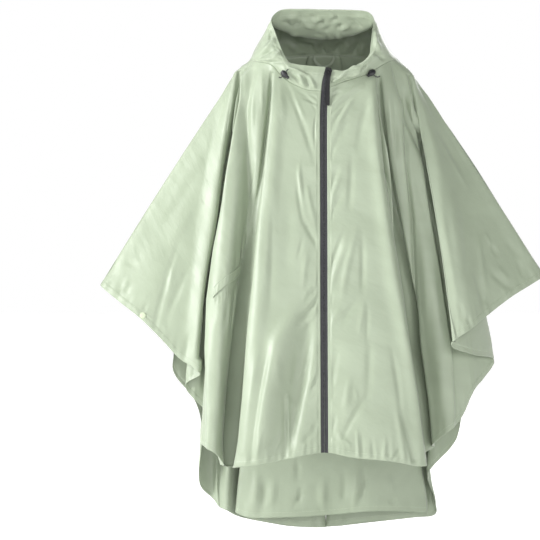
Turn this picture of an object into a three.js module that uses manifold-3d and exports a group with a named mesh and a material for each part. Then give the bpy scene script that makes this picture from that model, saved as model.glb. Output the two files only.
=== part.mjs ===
// Rain poncho in its worn form: hood, full-length zip, batwing sleeves, inverted pleat in the back.
// Millimetres, +Z up, the front faces -Y. "right" and "left" are the wearer's: right lies on -X.
import * as THREE from 'three';
import { mergeVertices } from 'three/addons/utils/BufferGeometryUtils.js';
import Module from 'manifold-3d';

const wasm = await Module();
wasm.setup();

const RIGHT = -1;
const LEFT = 1;

// Cloth: one wall for every panel, seams as narrow gaps, hems turned up and stitched.
const wall = 1.2;
const seamGap = 0.3;
const longestMitre = 2.2;
const hemDepth = 14;
const hemStep = 1.5;
const hemRaise = 0.7;
const channelRaise = 0.7;

// Outline sizes are as they look from straight in front at this distance and height.
const viewDistance = 5000;
const viewLevel = -487;

// Neck seam: a wide ring that lies on the shoulders.
const neckHalfWidth = 174;
const neckFront = 105;
const neckBack = 85;
const pleatSpread = 1.5;

// Zip: reversed coil tape with a stitched cloth edge on each side.
const zipHalfOpening = 8.3;
const zipTapeUnder = 6;
const zipTapeThickness = 1;
const zipTapeLay = 1.8;

// Shares of a fold line above the shoulder (0 to 1) and below it (1 to 2) where the cloth has a row.
const rowsAboveShoulder = [0, 0.35, 0.7, 1];
const rowsBelowShoulder = [1.07, 1.16, 1.27, 1.39, 1.51, 1.63, 1.75, 1.87];

const finish = (color, roughness, metalness) => (name) => new THREE.MeshStandardMaterial({
  name, color, roughness, metalness,
});
const cloth = finish(0xaebb9f, 0.42, 0);
const blackNylon = finish(0x17181a, 0.5, 0);
const blackPlastic = finish(0x121314, 0.35, 0);
const blackMetal = finish(0x16171a, 0.35, 0.5);
const greenPlastic = finish(0xb4bfa5, 0.35, 0);

function table(columns, rows) {
  return rows.map((row) => Object.fromEntries(columns.map((name, index) => [name, row[index]])));
}

// Smooth value of a table's column between its rows.
function smoothValue(rows, key, column, at) {
  const last = rows.length - 1;
  let low = 0;
  while (low < last - 1 && at > rows[low + 1][key]) low += 1;
  const slope = (index) => {
    const before = rows[Math.max(index - 1, 0)];
    const after = rows[Math.min(index + 1, last)];
    return (after[column] - before[column]) / (after[key] - before[key]);
  };
  const span = rows[low + 1][key] - rows[low][key];
  const t = THREE.MathUtils.clamp((at - rows[low][key]) / span, 0, 1);
  const before = (2 * t ** 3 - 3 * t ** 2 + 1) * rows[low][column];
  const after = (3 * t ** 2 - 2 * t ** 3) * rows[low + 1][column];
  const leaving = (t ** 3 - 2 * t ** 2 + t) * slope(low);
  const arriving = (t ** 3 - t ** 2) * slope(low + 1);
  return before + after + span * (leaving + arriving);
}

// Point at a true depth that looks to be at x, z from the front.
function seenPoint(x, depth, z) {
  const scale = (viewDistance + depth) / viewDistance;
  return new THREE.Vector3(x * scale, depth, viewLevel + (z - viewLevel) * scale);
}

// Neck seam height by turn round the neck: 0 is the zip, 90 the shoulder, 180 the middle of the back.
const neckHeights = table(['turn', 'right', 'left'], [
  [0, -77, -72],
  [12, -74, -58],
  [22, -63, -48],
  [34, -40, -38],
  [44, -14, -22],
  [60, -5, -4],
  [90, 4, 5],
  [135, 14, 16],
  [180, 25, 25],
]);

// Where the cloth leaves the shoulders and chest, by the same turn.
const shoulderRing = table(['turn', 'out', 'y', 'z'], [
  [0, 0, -117, -150],
  [20, 62, -115, -142],
  [42, 126, -100, -119],
  [56, 171, -78, -90],
  [68, 202, -48, -62],
  [78, 207, -25, -42],
  [90, 208, 0, -30],
  [110, 202, 45, -34],
  [135, 160, 88, -46],
  [160, 80, 112, -56],
  [180, 0, 118, -60],
]);

// Middle line of the zip: it leans to the wearer's left at the top.
const zipLine = table(['height', 'x'], [
  [-913, 1.5],
  [-600, 0],
  [-340, -0.5],
  [-135, -1],
  [-85, 1],
  [-58, 3.5],
  [-35, 9],
  [-20, 13],
]);

// Fold lines from the neck to the hem, one row each, from the zip round to the middle of the back.
// turn: place on the neck seam. x, depth, z: hem point. hang: 1 falls plumb, 0 runs straight.
// sink: how far the fold lies in from the shoulder ring. steps: columns of cloth up to the next row.
const foldColumns = ['fold', 'turn', 'x', 'depth', 'z', 'hang', 'sink', 'steps'];
const frontRightFolds = table(foldColumns, [
  ['zip edge', 2.7, -8.6, -190, -915, 0.3, 0, 1],
  ['zip stitching', 4.7, -14.9, -190.6, -915.5, 0.3, 0, 2],
  ['panel', 13, -86.6, -201, -930, 0.3, 0, 2],
  ['panel', 25, -158, -202, -945, 0.3, -2, 2],
  ['panel ridge', 35, -197, -190, -949, 0.35, -8, 2],
  ['panel edge', 41.5, -218.6, -156, -950, 0.1, -6, 2],
  ['valley behind panel', 45.5, -206, -104, -948, 0.25, 20, 2],
  ['strip inner edge', 50, -228, -134, -944, 0.4, 10, 2],
  ['strip', 56, -260, -142, -911, 0.5, 0, 2],
  ['strip outer edge', 63, -284.5, -120, -896, 0.45, -2, 2],
  ['strip contour', 67, -288, -98, -885, 0.45, -2, 2],
  ['strip back', 70, -268, -64, -862, 0.5, 6, 1],
  ['valley under wing', 73, -240, -42, -846, 0.5, 16, 2],
  ['flute back', 75.5, -290, -44, -803, 0.5, 10, 1],
  ['flute fold', 78, -325, -56, -758, 0.5, 5, 2],
  ['wing fold', 80.5, -295, -84, -729, 0.1, -2, 2],
  ['wing', 82.5, -342, -76, -691, 0.3, -2, 1],
  ['wing', 84.5, -374, -72, -656, 0.2, -2, 2],
  ['wing ridge', 86.3, -430, -62, -600, 0.1, 0, 2],
  ['wing', 88.2, -483, -42, -558, 0.05, 0, 2],
]);
const overarmRight = table(foldColumns, [['overarm', 90, -523, -16, -522, 0.05, 0, 2]]);
const backRightFolds = table(foldColumns, [
  ['back wing', 93, -478, 10, -540, 0.1, 0, 2],
  ['back wing', 97, -422, 26, -580, 0.2, 0, 2],
  ['back wing', 101, -352, 40, -658, 0.3, 0, 1],
  ['back wing fold', 105, -352, 48, -725, 0.5, 0, 2],
  ['side', 110, -302, 66, -792, 0.7, 4, 1],
  ['side', 116, -284, 88, -860, 0.9, 6, 1],
  ['flute', 122, -290, 122, -987, 0.9, -4, 2],
  ['flute', 128, -262, 152, -1020, 0.8, -6, 1],
  ['flute', 134, -240, 150, -1040, 0.8, 0, 1],
  ['valley', 139, -226, 128, -1050, 0.7, 14, 2],
  ['back', 145, -208, 156, -1060, 0.6, 4, 1],
  ['back', 150, -184, 184, -1068, 0.5, -4, 2],
  ['back valley', 157, -132, 176, -1078, 0.5, 5, 2],
  ['back', 164, -84, 204, -1086, 0.5, -2, 2],
  ['back', 172, -38, 190, -1089, 0.5, 2, 2],
  ['pleat edge', 179.7, 2.6, 168, -1089, 0.5, 0, 1],
]);
const frontLeftFolds = table(foldColumns, [
  ['zip edge', 2.7, 8.6, -190, -915, 0.3, 0, 1],
  ['zip stitching', 4.7, 14.9, -190.6, -915.5, 0.3, 0, 2],
  ['panel', 13, 65, -201, -926, 0.3, 0, 2],
  ['panel', 25, 168, -198, -937, 0.3, -2, 2],
  ['panel ridge', 37, 222, -182, -947, 0.3, -8, 2],
  ['panel edge', 44, 252, -152, -941, 0.35, -2, 2],
  ['valley behind panel', 47.5, 230, -94, -926, 0.5, 20, 2],
  ['strip inner edge', 51, 250, -100, -899, 0.6, 10, 2],
  ['strip', 54.5, 292, -110, -864, 0.6, 8, 2],
  ['strip', 57.5, 320, -94, -834, 0.6, 10, 1],
  ['strip', 60, 351, -72, -768, 0.6, 14, 2],
  ['strip outer edge', 62.5, 372, -44, -742, 0.6, 22, 1],
  ['outer fold', 65, 399, -20, -700, 0.6, 20, 1],
  ['turned layer', 67.5, 348, -110, -684, 0.6, 12, 2],
  ['wing fold', 70, 298, -152, -663, 0.5, 4, 2],
  ['wing', 75, 345, -138, -624, 0.3, -4, 2],
  ['wing', 80, 390, -98, -587, 0.2, -4, 2],
  ['wing', 85, 440, -66, -549, 0.1, 0, 2],
  ['wing', 88, 480, -40, -524, 0.05, 0, 2],
]);
const overarmLeft = table(foldColumns, [['overarm', 90, 515, -16, -501, 0.05, 0, 2]]);
const backLeftFolds = table(foldColumns, [
  ['back wing', 93, 474, 10, -516, 0.1, 0, 2],
  ['back wing', 97, 424, 28, -550, 0.2, 0, 2],
  ['back wing', 102, 368, 44, -606, 0.3, 0, 1],
  ['back wing fold', 107, 346, 58, -690, 0.5, 0, 2],
  ['side', 113, 326, 78, -790, 0.7, 4, 1],
  ['side', 119, 311, 98, -878, 0.9, 6, 1],
  ['side fold', 125, 292, 110, -908, 0.9, 0, 1],
  ['side fold', 130, 261, 118, -942, 0.8, 0, 1],
  ['valley', 135, 256, 128, -974, 0.7, 12, 2],
  ['back', 141, 264, 158, -1034, 0.6, 2, 1],
  ['back', 148, 258, 182, -1060, 0.5, -4, 2],
  ['back valley', 154, 212, 176, -1066, 0.5, 5, 2],
  ['back', 160, 160, 204, -1072, 0.5, -2, 2],
  ['back valley', 166, 104, 190, -1078, 0.5, 4, 2],
  ['back', 172, 52, 200, -1084, 0.5, 0, 2],
  ['pleat edge', 179.7, 5, 168, -1088, 0.5, 0, 1],
]);

// Layers of the inverted pleat, inside the back panels, as far in as inset says at the neck.
const pleatColumns = [...foldColumns, 'inset'];
const pleatRightReturn = table(pleatColumns, [
  ['return', 177.5, -20, 152, -1089, 0.5, 0, 2, 5],
  ['return', 173, -90, 149, -1083, 0.5, 0, 2, 5],
  ['return', 169, -165, 146, -1070, 0.5, 0, 1, 5],
]);
const pleatLeftReturn = table(pleatColumns, [
  ['return', 177.5, 28, 152, -1085, 0.5, 0, 2, 5],
  ['return', 173, 112, 149, -1075, 0.5, 0, 2, 5],
  ['return', 169, 204, 150, -1066, 0.5, 0, 1, 5],
]);
const pleatRightSeam = table(pleatColumns, [['underlay seam', 167.5, -208, 135, -1054, 0.4, 0, 1, 7]]);
const pleatLeftSeam = table(pleatColumns, [['underlay seam', 167.5, 243, 140, -1056, 0.4, 0, 1, 7]]);
const underlayRight = table(pleatColumns, [
  ['underlay', 169.5, -183, 122, -1065, 0.4, 0, 2, 10],
  ['underlay', 174, -80, 112, -1066, 0.4, 0, 2, 10],
]);
const underlayLeft = table(pleatColumns, [
  ['underlay', 179.5, 20, 116, -1060, 0.4, 0, 2, 10],
  ['underlay', 174, 112, 106, -1052, 0.4, 0, 2, 10],
  ['underlay', 169.5, 216, 124, -1054, 0.4, 0, 1, 10],
]);

const onSide = (side, rows) => rows.map((row) => ({ inset: 0, ...row, side }));
const ring = [
  ...onSide(RIGHT, frontRightFolds),
  ...onSide(RIGHT, overarmRight),
  ...onSide(RIGHT, backRightFolds),
  ...onSide(RIGHT, pleatRightReturn),
  ...onSide(RIGHT, pleatRightSeam),
  ...onSide(RIGHT, underlayRight),
  ...onSide(LEFT, underlayLeft),
  ...onSide(LEFT, pleatLeftSeam),
  ...onSide(LEFT, pleatLeftReturn).reverse(),
  ...onSide(LEFT, backLeftFolds).reverse(),
  ...onSide(LEFT, overarmLeft),
  ...onSide(LEFT, frontLeftFolds).reverse(),
];

function neckPoint(turn, side, inset = 0) {
  const angle = THREE.MathUtils.degToRad(turn);
  const reach = turn < 90 ? neckFront : neckBack;
  const height = smoothValue(neckHeights, 'turn', side === RIGHT ? 'right' : 'left', turn);
  return new THREE.Vector3(side * neckHalfWidth * Math.sin(angle), -reach * Math.cos(angle) - inset, height);
}

function shoulderPoint(fold) {
  const { turn, side, inset, sink } = fold;
  const angle = THREE.MathUtils.degToRad(turn);
  const out = smoothValue(shoulderRing, 'turn', 'out', turn) - sink * Math.sin(angle);
  const y = smoothValue(shoulderRing, 'turn', 'y', turn) + sink * Math.cos(angle) - pleatSpread * inset;
  return new THREE.Vector3(side * out, y, smoothValue(shoulderRing, 'turn', 'z', turn));
}

function hermite(start, startWay, end, endWay, t) {
  const point = start.clone().multiplyScalar(2 * t ** 3 - 3 * t ** 2 + 1);
  point.addScaledVector(startWay, t ** 3 - 2 * t ** 2 + t);
  point.addScaledVector(end, 3 * t ** 2 - 2 * t ** 3);
  return point.addScaledVector(endWay, t ** 3 - t ** 2);
}

const overShoulder = 0.1;
const zipWidths = { 'zip edge': zipHalfOpening, 'zip stitching': zipHalfOpening + zipTapeUnder };
const down = new THREE.Vector3(0, 0, -1);

// Point of a fold line: along is 0 at the neck, 1 at the shoulder, 2 at the hem.
function foldPoint(fold, along) {
  const neck = neckPoint(fold.turn, fold.side, fold.inset);
  const shoulder = shoulderPoint(fold);
  const hem = seenPoint(fold.x, fold.depth, fold.z);
  const upper = shoulder.clone().sub(neck);
  const lower = hem.clone().sub(shoulder);
  const upperWay = upper.clone().normalize();
  const lowerWay = lower.clone().normalize();
  const shoulderWay = lowerWay.clone().lerp(upperWay, overShoulder).normalize();
  const hemWay = lowerWay.clone().lerp(down, fold.hang).normalize();
  const point = along < 1
    ? hermite(neck, upper, shoulder, shoulderWay.clone().multiplyScalar(upper.length()), along)
    : hermite(shoulder, shoulderWay.clone().multiplyScalar(lower.length()), hem,
      hemWay.multiplyScalar(lower.length()), along - 1);
  const fromZip = zipWidths[fold.fold];
  if (fromZip) point.x = smoothValue(zipLine, 'height', 'x', point.z) + fold.side * fromZip;
  return point;
}

function foldLength(fold) {
  const hem = seenPoint(fold.x, fold.depth, fold.z);
  return hem.distanceTo(shoulderPoint(fold));
}

// Rows of the cloth: a share of each fold line, with the hem's rows at true distances from the edge.
const bodyRows = [
  ...[...rowsAboveShoulder, ...rowsBelowShoulder].map((share) => ({ raise: 0, along: () => share })),
  { raise: 0, along: (fold) => 2 - hemDepth / foldLength(fold) },
  { raise: hemRaise, along: (fold) => 2 - (hemDepth - hemStep) / foldLength(fold) },
  { raise: hemRaise, along: () => 2 },
];

function ringCurve(folds, row) {
  const points = folds.map((fold) => foldPoint(fold, row.along(fold)));
  return new THREE.CatmullRomCurve3(points, false, 'centripetal');
}

// Columns of the cloth: where each lies on the ring of folds, and which fold starts it.
function ringColumns(folds) {
  const columns = [];
  folds.forEach((fold, index) => {
    if (index === folds.length - 1) {
      columns.push({ place: 1, fold: index });
      return;
    }
    const steps = folds[index].steps;
    for (let step = 0; step < steps; step += 1) {
      columns.push({ place: (index + step / steps) / (folds.length - 1), fold: step === 0 ? index : -1 });
    }
  });
  return columns;
}

// Which fold or station of a ring starts the piece that holds a turn, and how far along the turn lies.
function foldAtTurn(folds, turn, side) {
  const outside = (fold) => fold?.side === side && fold.inset === 0;
  const between = (a, b) => Math.min(a, b) <= turn && turn <= Math.max(a, b);
  const index = folds.findIndex((fold, i) => outside(fold) && outside(folds[i + 1])
    && between(fold.turn, folds[i + 1].turn));
  const share = index < 0 ? 0 : (turn - folds[index].turn) / (folds[index + 1].turn - folds[index].turn);
  return { index, share };
}

function columnAtTurn(folds, turn, side) {
  const { index, share } = foldAtTurn(folds, turn, side);
  return ringColumns(folds).findIndex((column) => column.fold === index) + share * folds[index].steps;
}

// Outward ways of a grid of points. They are longer at sharp folds, so that a wall keeps its thickness.
function gridNormals(grid) {
  const lastRow = grid.length - 1;
  const lastColumn = grid[0].length - 1;
  const way = (from, to) => to.clone().sub(from).normalize();
  return grid.map((row, r) => row.map((point, c) => {
    const along = new THREE.Vector3();
    if (r > 0) along.add(way(grid[r - 1][c], point));
    if (r < lastRow) along.add(way(point, grid[r + 1][c]));
    const faces = [];
    if (c > 0) faces.push(way(row[c - 1], point).cross(along).normalize());
    if (c < lastColumn) faces.push(way(point, row[c + 1]).cross(along).normalize());
    const mean = faces.reduce((sum, face) => sum.add(face), new THREE.Vector3()).divideScalar(faces.length);
    const mitre = THREE.MathUtils.clamp(mean.length(), 1 / longestMitre, 1);
    return mean.normalize().divideScalar(mitre);
  }));
}

// Closed wall between two grids of the same size: outer and inner faces, and a rim round the edge.
function closedWall(outer, inner) {
  const rows = outer.length;
  const columns = outer[0].length;
  const positions = [...outer.flat(), ...inner.flat()].flatMap((p) => [p.x, p.y, p.z]);
  const outerAt = (r, c) => r * columns + c;
  const innerAt = (r, c) => rows * columns + r * columns + c;
  const index = [];
  const quad = (a, b, c, d) => index.push(a, b, c, a, c, d);
  for (let r = 0; r < rows - 1; r += 1) {
    for (let c = 0; c < columns - 1; c += 1) {
      quad(outerAt(r, c), outerAt(r, c + 1), outerAt(r + 1, c + 1), outerAt(r + 1, c));
      quad(innerAt(r, c), innerAt(r + 1, c), innerAt(r + 1, c + 1), innerAt(r, c + 1));
    }
  }
  for (let c = 0; c < columns - 1; c += 1) {
    quad(outerAt(0, c + 1), outerAt(0, c), innerAt(0, c), innerAt(0, c + 1));
    quad(outerAt(rows - 1, c), outerAt(rows - 1, c + 1), innerAt(rows - 1, c + 1), innerAt(rows - 1, c));
  }
  for (let r = 0; r < rows - 1; r += 1) {
    quad(outerAt(r, 0), outerAt(r + 1, 0), innerAt(r + 1, 0), innerAt(r, 0));
    quad(outerAt(r + 1, columns - 1), outerAt(r, columns - 1), innerAt(r, columns - 1),
      innerAt(r + 1, columns - 1));
  }
  return geometryOf(positions, index);
}

function geometryOf(positions, index) {
  const geometry = new THREE.BufferGeometry();
  geometry.setAttribute('position', new THREE.Float32BufferAttribute(positions, 3));
  geometry.setIndex(volumeOf(positions, index) < 0 ? index.toReversed() : index);
  geometry.computeVertexNormals();
  return geometry;
}

function volumeOf(positions, index) {
  const corner = (i) => new THREE.Vector3().fromArray(positions, 3 * index[i]);
  let volume = 0;
  for (let i = 0; i < index.length; i += 3) volume += corner(i).dot(corner(i + 1).cross(corner(i + 2))) / 6;
  return volume;
}

const group = new THREE.Group();

function add(name, geometry, material) {
  const mesh = new THREE.Mesh(geometry, material(name));
  mesh.name = name;
  group.add(mesh);
  return mesh;
}

// Body of the poncho: one ring of cloth, cut at the seams into its panels.
const bodyColumns = ringColumns(ring);
const bodyGrid = bodyRows.map((row) => {
  const curve = ringCurve(ring, row);
  return bodyColumns.map((column) => curve.getPoint(column.place));
});
const bodyNormals = gridNormals(bodyGrid);
const columnOfFold = (fold) => bodyColumns.findIndex((column) => ring[column.fold] === fold);
const foldCalled = (name, side) => ring.find((fold) => fold.fold === name && fold.side === side);

// Point of the cloth at a seam, drawn back into the panel that lies a step of columns beside it.
function seamPoint(r, at, step) {
  const point = bodyGrid[r][at];
  const own = bodyGrid[r][at + step].clone().sub(point).normalize();
  const other = bodyGrid[r][at - step].clone().sub(point).normalize();
  return point.clone().addScaledVector(own, seamGap / own.distanceTo(other));
}

// Part of the body cloth between two folds, each end of it open or at a seam.
function panel(name, firstFold, lastFold, openFirst, openLast) {
  const first = columnOfFold(firstFold);
  const last = columnOfFold(lastFold);
  const outer = [];
  const inner = [];
  bodyRows.forEach((row, r) => {
    const points = bodyGrid[r].slice(first, last + 1);
    const normals = bodyNormals[r].slice(first, last + 1);
    if (!openFirst) points[0] = seamPoint(r, first, 1);
    if (!openLast) points[points.length - 1] = seamPoint(r, last, -1);
    outer.push(points.map((point, c) => {
      const outward = normals[c].clone().normalize();
      return point.clone().addScaledVector(outward, row.raise);
    }));
    inner.push(points.map((point, c) => point.clone().addScaledVector(normals[c], -wall)));
  });
  return add(name, closedWall(outer, inner), cloth);
}

panel('front_right_panel', foldCalled('zip edge', RIGHT), foldCalled('overarm', RIGHT), true, false);
panel('back_right_panel', foldCalled('overarm', RIGHT), foldCalled('underlay seam', RIGHT), false, false);
panel('back_pleat_underlay', foldCalled('underlay seam', RIGHT), foldCalled('underlay seam', LEFT),
  false, false);
panel('back_left_panel', foldCalled('underlay seam', LEFT), foldCalled('overarm', LEFT), false, false);
panel('front_left_panel', foldCalled('overarm', LEFT), foldCalled('zip edge', LEFT), false, true);

// Hood: stations round the neck, each a line from the seam over its side, top and dip to the face rim.
// Distances out are to the station's own side.
const hoodColumns = ['turn', 'steps', 'lowOut', 'lowY', 'lowZ', 'topOut', 'topY', 'topZ',
  'dipOut', 'dipY', 'dipZ', 'rimOut', 'rimY', 'rimZ'];
const hoodRightStations = table(hoodColumns, [
  [2.7, 1, 8.3, -107, -60, 8.3, -108, -48, 8.3, -107, -36, 8.3, -105, -22],
  [4.7, 2, 14.3, -107.2, -60, 14.3, -108.4, -47.5, 14.3, -107.4, -35.5, 14.3, -105.2, -21.5],
  [15, 2, 46, -107, -58, 43, -109, -44, 41, -108, -31, 37, -105, -19],
  [30, 2, 88, -98, -42, 84, -103, -31, 77, -103, -22, 66, -100, -15],
  [42, 3, 118, -83, -8, 108, -91, -1, 96, -94, -4, 79, -94, -11],
  [56, 2, 148, -60, 7, 132, -76, 18, 116, -84, 20, 91, -87, 7],
  [70, 2, 163, -36, 12, 144, -56, 34, 129, -70, 42, 103, -79, 36],
  [85, 2, 165, -8, 18, 145, -30, 52, 131, -54, 66, 114, -70, 66],
  [105, 2, 162, 26, 32, 134, 6, 76, 126, -40, 84, 121, -60, 93],
  [130, 2, 134, 68, 50, 114, 50, 100, 106, -12, 76, 102, -50, 114],
  [155, 2, 76, 96, 57, 62, 80, 102, 58, 16, 62, 52, -45, 118],
  [180, 2, 0, 104, 60, 0, 88, 98, 0, 24, 56, 0, -43, 117],
]);
const hoodLeftStations = table(hoodColumns, [
  [2.7, 1, 8.3, -107, -60, 8.3, -108, -50, 8.3, -107, -40, 8.3, -105, -28],
  [4.7, 1, 14.3, -107.2, -59.5, 14.3, -108.4, -49.5, 14.3, -107.4, -39.8, 14.3, -105.2, -28.2],
  [15, 2, 46, -107, -50, 44, -109, -42, 43, -108, -36, 42, -105, -31],
  [30, 2, 86, -98, -34, 83, -103, -28, 78, -103, -22, 71, -99, -19],
  [42, 2, 116, -83, -10, 112, -90, -2, 104, -94, -1, 93, -92, -6],
  [56, 2, 142, -60, 9, 130, -76, 18, 119, -83, 18, 104, -85, 8],
  [70, 2, 154, -36, 15, 139, -56, 34, 127, -70, 38, 107, -79, 30],
  [85, 2, 152, -8, 22, 136, -30, 52, 126, -54, 64, 111, -70, 64],
  [105, 2, 150, 26, 34, 128, 6, 76, 121, -40, 84, 115, -60, 93],
  [130, 2, 126, 68, 50, 109, 50, 100, 104, -12, 76, 102, -50, 110],
  [155, 2, 76, 96, 57, 62, 80, 102, 60, 16, 62, 54, -45, 116],
]);
const hoodRing = [...onSide(RIGHT, hoodRightStations), ...onSide(LEFT, hoodLeftStations).reverse()];
const hoodRowSteps = 3;
const channelRows = 2;
const hoodSeamGap = 0.8;

// Point of the neck seam at a turn, on the line that the body's first row follows.
const neckCurve = ringCurve(ring, bodyRows[0]);
function neckSeam(turn, side) {
  const { index, share } = foldAtTurn(ring, turn, side);
  if (index < 0) return neckPoint(turn, side);
  return neckCurve.getPoint((index + share) / (ring.length - 1));
}

// One station's line, from the neck seam to the rim.
function stationCurve(station) {
  const { side } = station;
  const neck = neckPoint(station.turn, side);
  const low = new THREE.Vector3(side * station.lowOut, station.lowY, station.lowZ);
  const top = new THREE.Vector3(side * station.topOut, station.topY, station.topZ);
  const dip = new THREE.Vector3(side * station.dipOut, station.dipY, station.dipZ);
  const rim = new THREE.Vector3(side * station.rimOut, station.rimY, station.rimZ);
  return new THREE.CatmullRomCurve3([neck, low, top, dip, rim], false, 'centripetal');
}

const stationCurves = hoodRing.map(stationCurve);
const hoodPlaces = ringColumns(hoodRing).map((column) => column.place);
const hoodRows = 4 * hoodRowSteps;
const hoodGrid = [];
for (let r = 0; r <= hoodRows; r += 1) {
  const share = 1 - r / hoodRows;
  const points = stationCurves.map((curve) => curve.getPoint(share));
  hoodRing.forEach((station, index) => {
    const fromZip = Object.values(zipWidths).find((width) => width === station.lowOut);
    if (fromZip === undefined) return;
    points[index].x = smoothValue(zipLine, 'height', 'x', points[index].z) + station.side * fromZip;
  });
  const curve = new THREE.CatmullRomCurve3(points, false, 'centripetal');
  hoodGrid.push(hoodPlaces.map((place) => curve.getPoint(place)));
}

// The hood's first row stands just above the neck seam, whose curve is finer than its own.
const roundTurn = ({ turn, side }) => (side === RIGHT ? turn : 360 - turn);
hoodGrid[hoodRows].forEach((point, c) => {
  const at = hoodPlaces[c] * (hoodRing.length - 1);
  const low = Math.min(Math.floor(at), hoodRing.length - 2);
  const turn = THREE.MathUtils.lerp(roundTurn(hoodRing[low]), roundTurn(hoodRing[low + 1]), at - low);
  const seam = turn <= 180 ? neckSeam(turn, RIGHT) : neckSeam(360 - turn, LEFT);
  const way = hoodGrid[hoodRows - 1][c].clone().sub(seam).normalize();
  point.copy(seam).addScaledVector(way, hoodSeamGap);
});
const hoodNormals = gridNormals(hoodGrid);
const hoodMiddle = ringColumns(hoodRing).findIndex((column) => hoodRing[column.fold]?.turn === 180);

function hoodHalf(name, first, last) {
  const outer = [];
  const inner = [];
  hoodGrid.forEach((row, r) => {
    const points = row.slice(first, last + 1).map((point) => point.clone());
    const normals = hoodNormals[r].slice(first, last + 1);
    const end = points.length - 1;
    if (last === hoodMiddle) {
      points[end].addScaledVector(points[end - 1].clone().sub(points[end]).normalize(), seamGap / 2);
    } else {
      points[0].addScaledVector(points[1].clone().sub(points[0]).normalize(), seamGap / 2);
    }
    const raise = r < channelRows ? channelRaise : 0;
    outer.push(points.map((point, c) => point.clone().addScaledVector(normals[c], raise)));
    inner.push(points.map((point, c) => point.clone().addScaledVector(normals[c], -wall)));
  });
  return add(name, closedWall(outer, inner), cloth);
}

hoodHalf('hood_right', 0, hoodMiddle);
hoodHalf('hood_left', hoodMiddle, hoodGrid[0].length - 1);

// Place on the cloth by column and row of its grid, whole numbers being its own points.
function clothSpot(grid, normals, column, row) {
  const c = Math.min(Math.floor(column), grid[0].length - 2);
  const r = Math.min(Math.floor(row), grid.length - 2);
  const blend = (field) => {
    const upper = field[r][c].clone().lerp(field[r][c + 1], column - c);
    const lower = field[r + 1][c].clone().lerp(field[r + 1][c + 1], column - c);
    return upper.lerp(lower, row - r);
  };
  return { point: blend(grid), out: blend(normals).normalize() };
}

// Frame on the cloth: local Y goes into it, local Z lies as near to the given way as it can.
function frameOnCloth(spot, lift, way) {
  const inward = spot.out.clone().negate();
  const up = way.clone().addScaledVector(inward, -way.dot(inward)).normalize();
  const sideways = inward.clone().cross(up);
  const frame = new THREE.Group();
  const turned = new THREE.Matrix4().makeBasis(sideways, inward, up);
  turned.decompose(frame.position, frame.quaternion, frame.scale);
  frame.position.copy(spot.point).addScaledVector(spot.out, lift);
  group.add(frame);
  return frame;
}

function addTo(frame, name, geometry, material) {
  const mesh = add(name, geometry, material);
  frame.add(mesh);
  return mesh;
}

// Solid for cutting and joining, from a closed mesh.
function solidOf(source) {
  const bare = source.clone();
  ['normal', 'uv'].forEach((attribute) => bare.deleteAttribute(attribute));
  const merged = mergeVertices(bare, 1e-4);
  return new wasm.Manifold(new wasm.Mesh({
    numProp: 3,
    vertProperties: new Float32Array(merged.getAttribute('position').array),
    triVerts: new Uint32Array(merged.getIndex().array),
  }));
}

function geometryOfSolid(solid) {
  const mesh = solid.getMesh();
  return geometryOf(Array.from(mesh.vertProperties), Array.from(mesh.triVerts));
}

// Zip tape: it runs under the stitched edges of front and hood, from the hem to the face opening.
function zipTape(name, side) {
  const last = bodyGrid[0].length - 1;
  const hoodLast = hoodGrid[0].length - 1;
  const rows = [];
  hoodGrid.slice(0, -1).forEach((row, r) => {
    const edge = side === RIGHT ? 0 : hoodLast;
    rows.push([row[edge], hoodNormals[r][edge], row[edge - side], hoodNormals[r][edge - side]]);
  });
  bodyGrid.forEach((row, r) => {
    const edge = side === RIGHT ? 0 : last;
    rows.push([row[edge], bodyNormals[r][edge], row[edge - side], bodyNormals[r][edge - side]]);
  });
  const outer = [];
  const inner = [];
  rows.forEach(([edge, edgeOut, stitch, stitchOut]) => {
    const atEdge = edge.clone().addScaledVector(edgeOut, -zipTapeLay);
    const atStitch = stitch.clone().addScaledVector(stitchOut, -zipTapeLay);
    const reach = (zipHalfOpening - seamGap / 2) / zipTapeUnder;
    const middle = atEdge.clone().addScaledVector(atEdge.clone().sub(atStitch), reach);
    middle.x = smoothValue(zipLine, 'height', 'x', edge.z) + (side * seamGap) / 2;
    const face = [middle, atEdge, atStitch];
    const outs = [edgeOut, edgeOut, stitchOut];
    outer.push(face);
    inner.push(face.map((point, c) => point.clone().addScaledVector(outs[c], -zipTapeThickness)));
  });
  return add(name, closedWall(outer, inner), blackNylon);
}

zipTape('zip_tape_right', RIGHT);
zipTape('zip_tape_left', LEFT);

// Slider at the top of the zip, and the pull that hangs from its bridge. Origin on the hinge axis.
const hingePoint = new THREE.Vector3(10, -111.8, -33);
const sliderTilt = THREE.MathUtils.degToRad(12);
const sliderLean = THREE.MathUtils.degToRad(-4);
const pullTilt = THREE.MathUtils.degToRad(0.7);
const pullLean = THREE.MathUtils.degToRad(-2.5);
const sliderLength = 20;
const sliderTopWidth = 11;
const sliderFootWidth = 8.5;
const sliderDepth = 4.2;
const sliderFront = 2.4;
const sliderCorner = 3;
const bridgeOuter = 3.2;
const bridgeInner = 1.5;
const bridgeWidth = 3;
const pullBar = 1.1;
const pullWidth = 8;
const pullLength = 78;
const pullThickness = 2.2;
const pullArm = 1.6;
const pullArmLength = 9;
const pullCorner = 1.5;

function frameAtHinge(lean, tilt) {
  const frame = new THREE.Group();
  frame.position.copy(hingePoint);
  frame.rotation.set(lean, tilt, 0, 'YXZ');
  group.add(frame);
  return frame;
}

function extrudeBetween(shape, depth, curveSegments = 6) {
  return new THREE.ExtrudeGeometry(shape, { depth, bevelEnabled: false, curveSegments });
}

// Extrusion of a shape drawn in x and z, from y = front inwards.
function plateFrom(shape, front, depth) {
  return extrudeBetween(shape, depth).rotateX(Math.PI / 2).translate(0, front + depth, 0);
}

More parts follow.
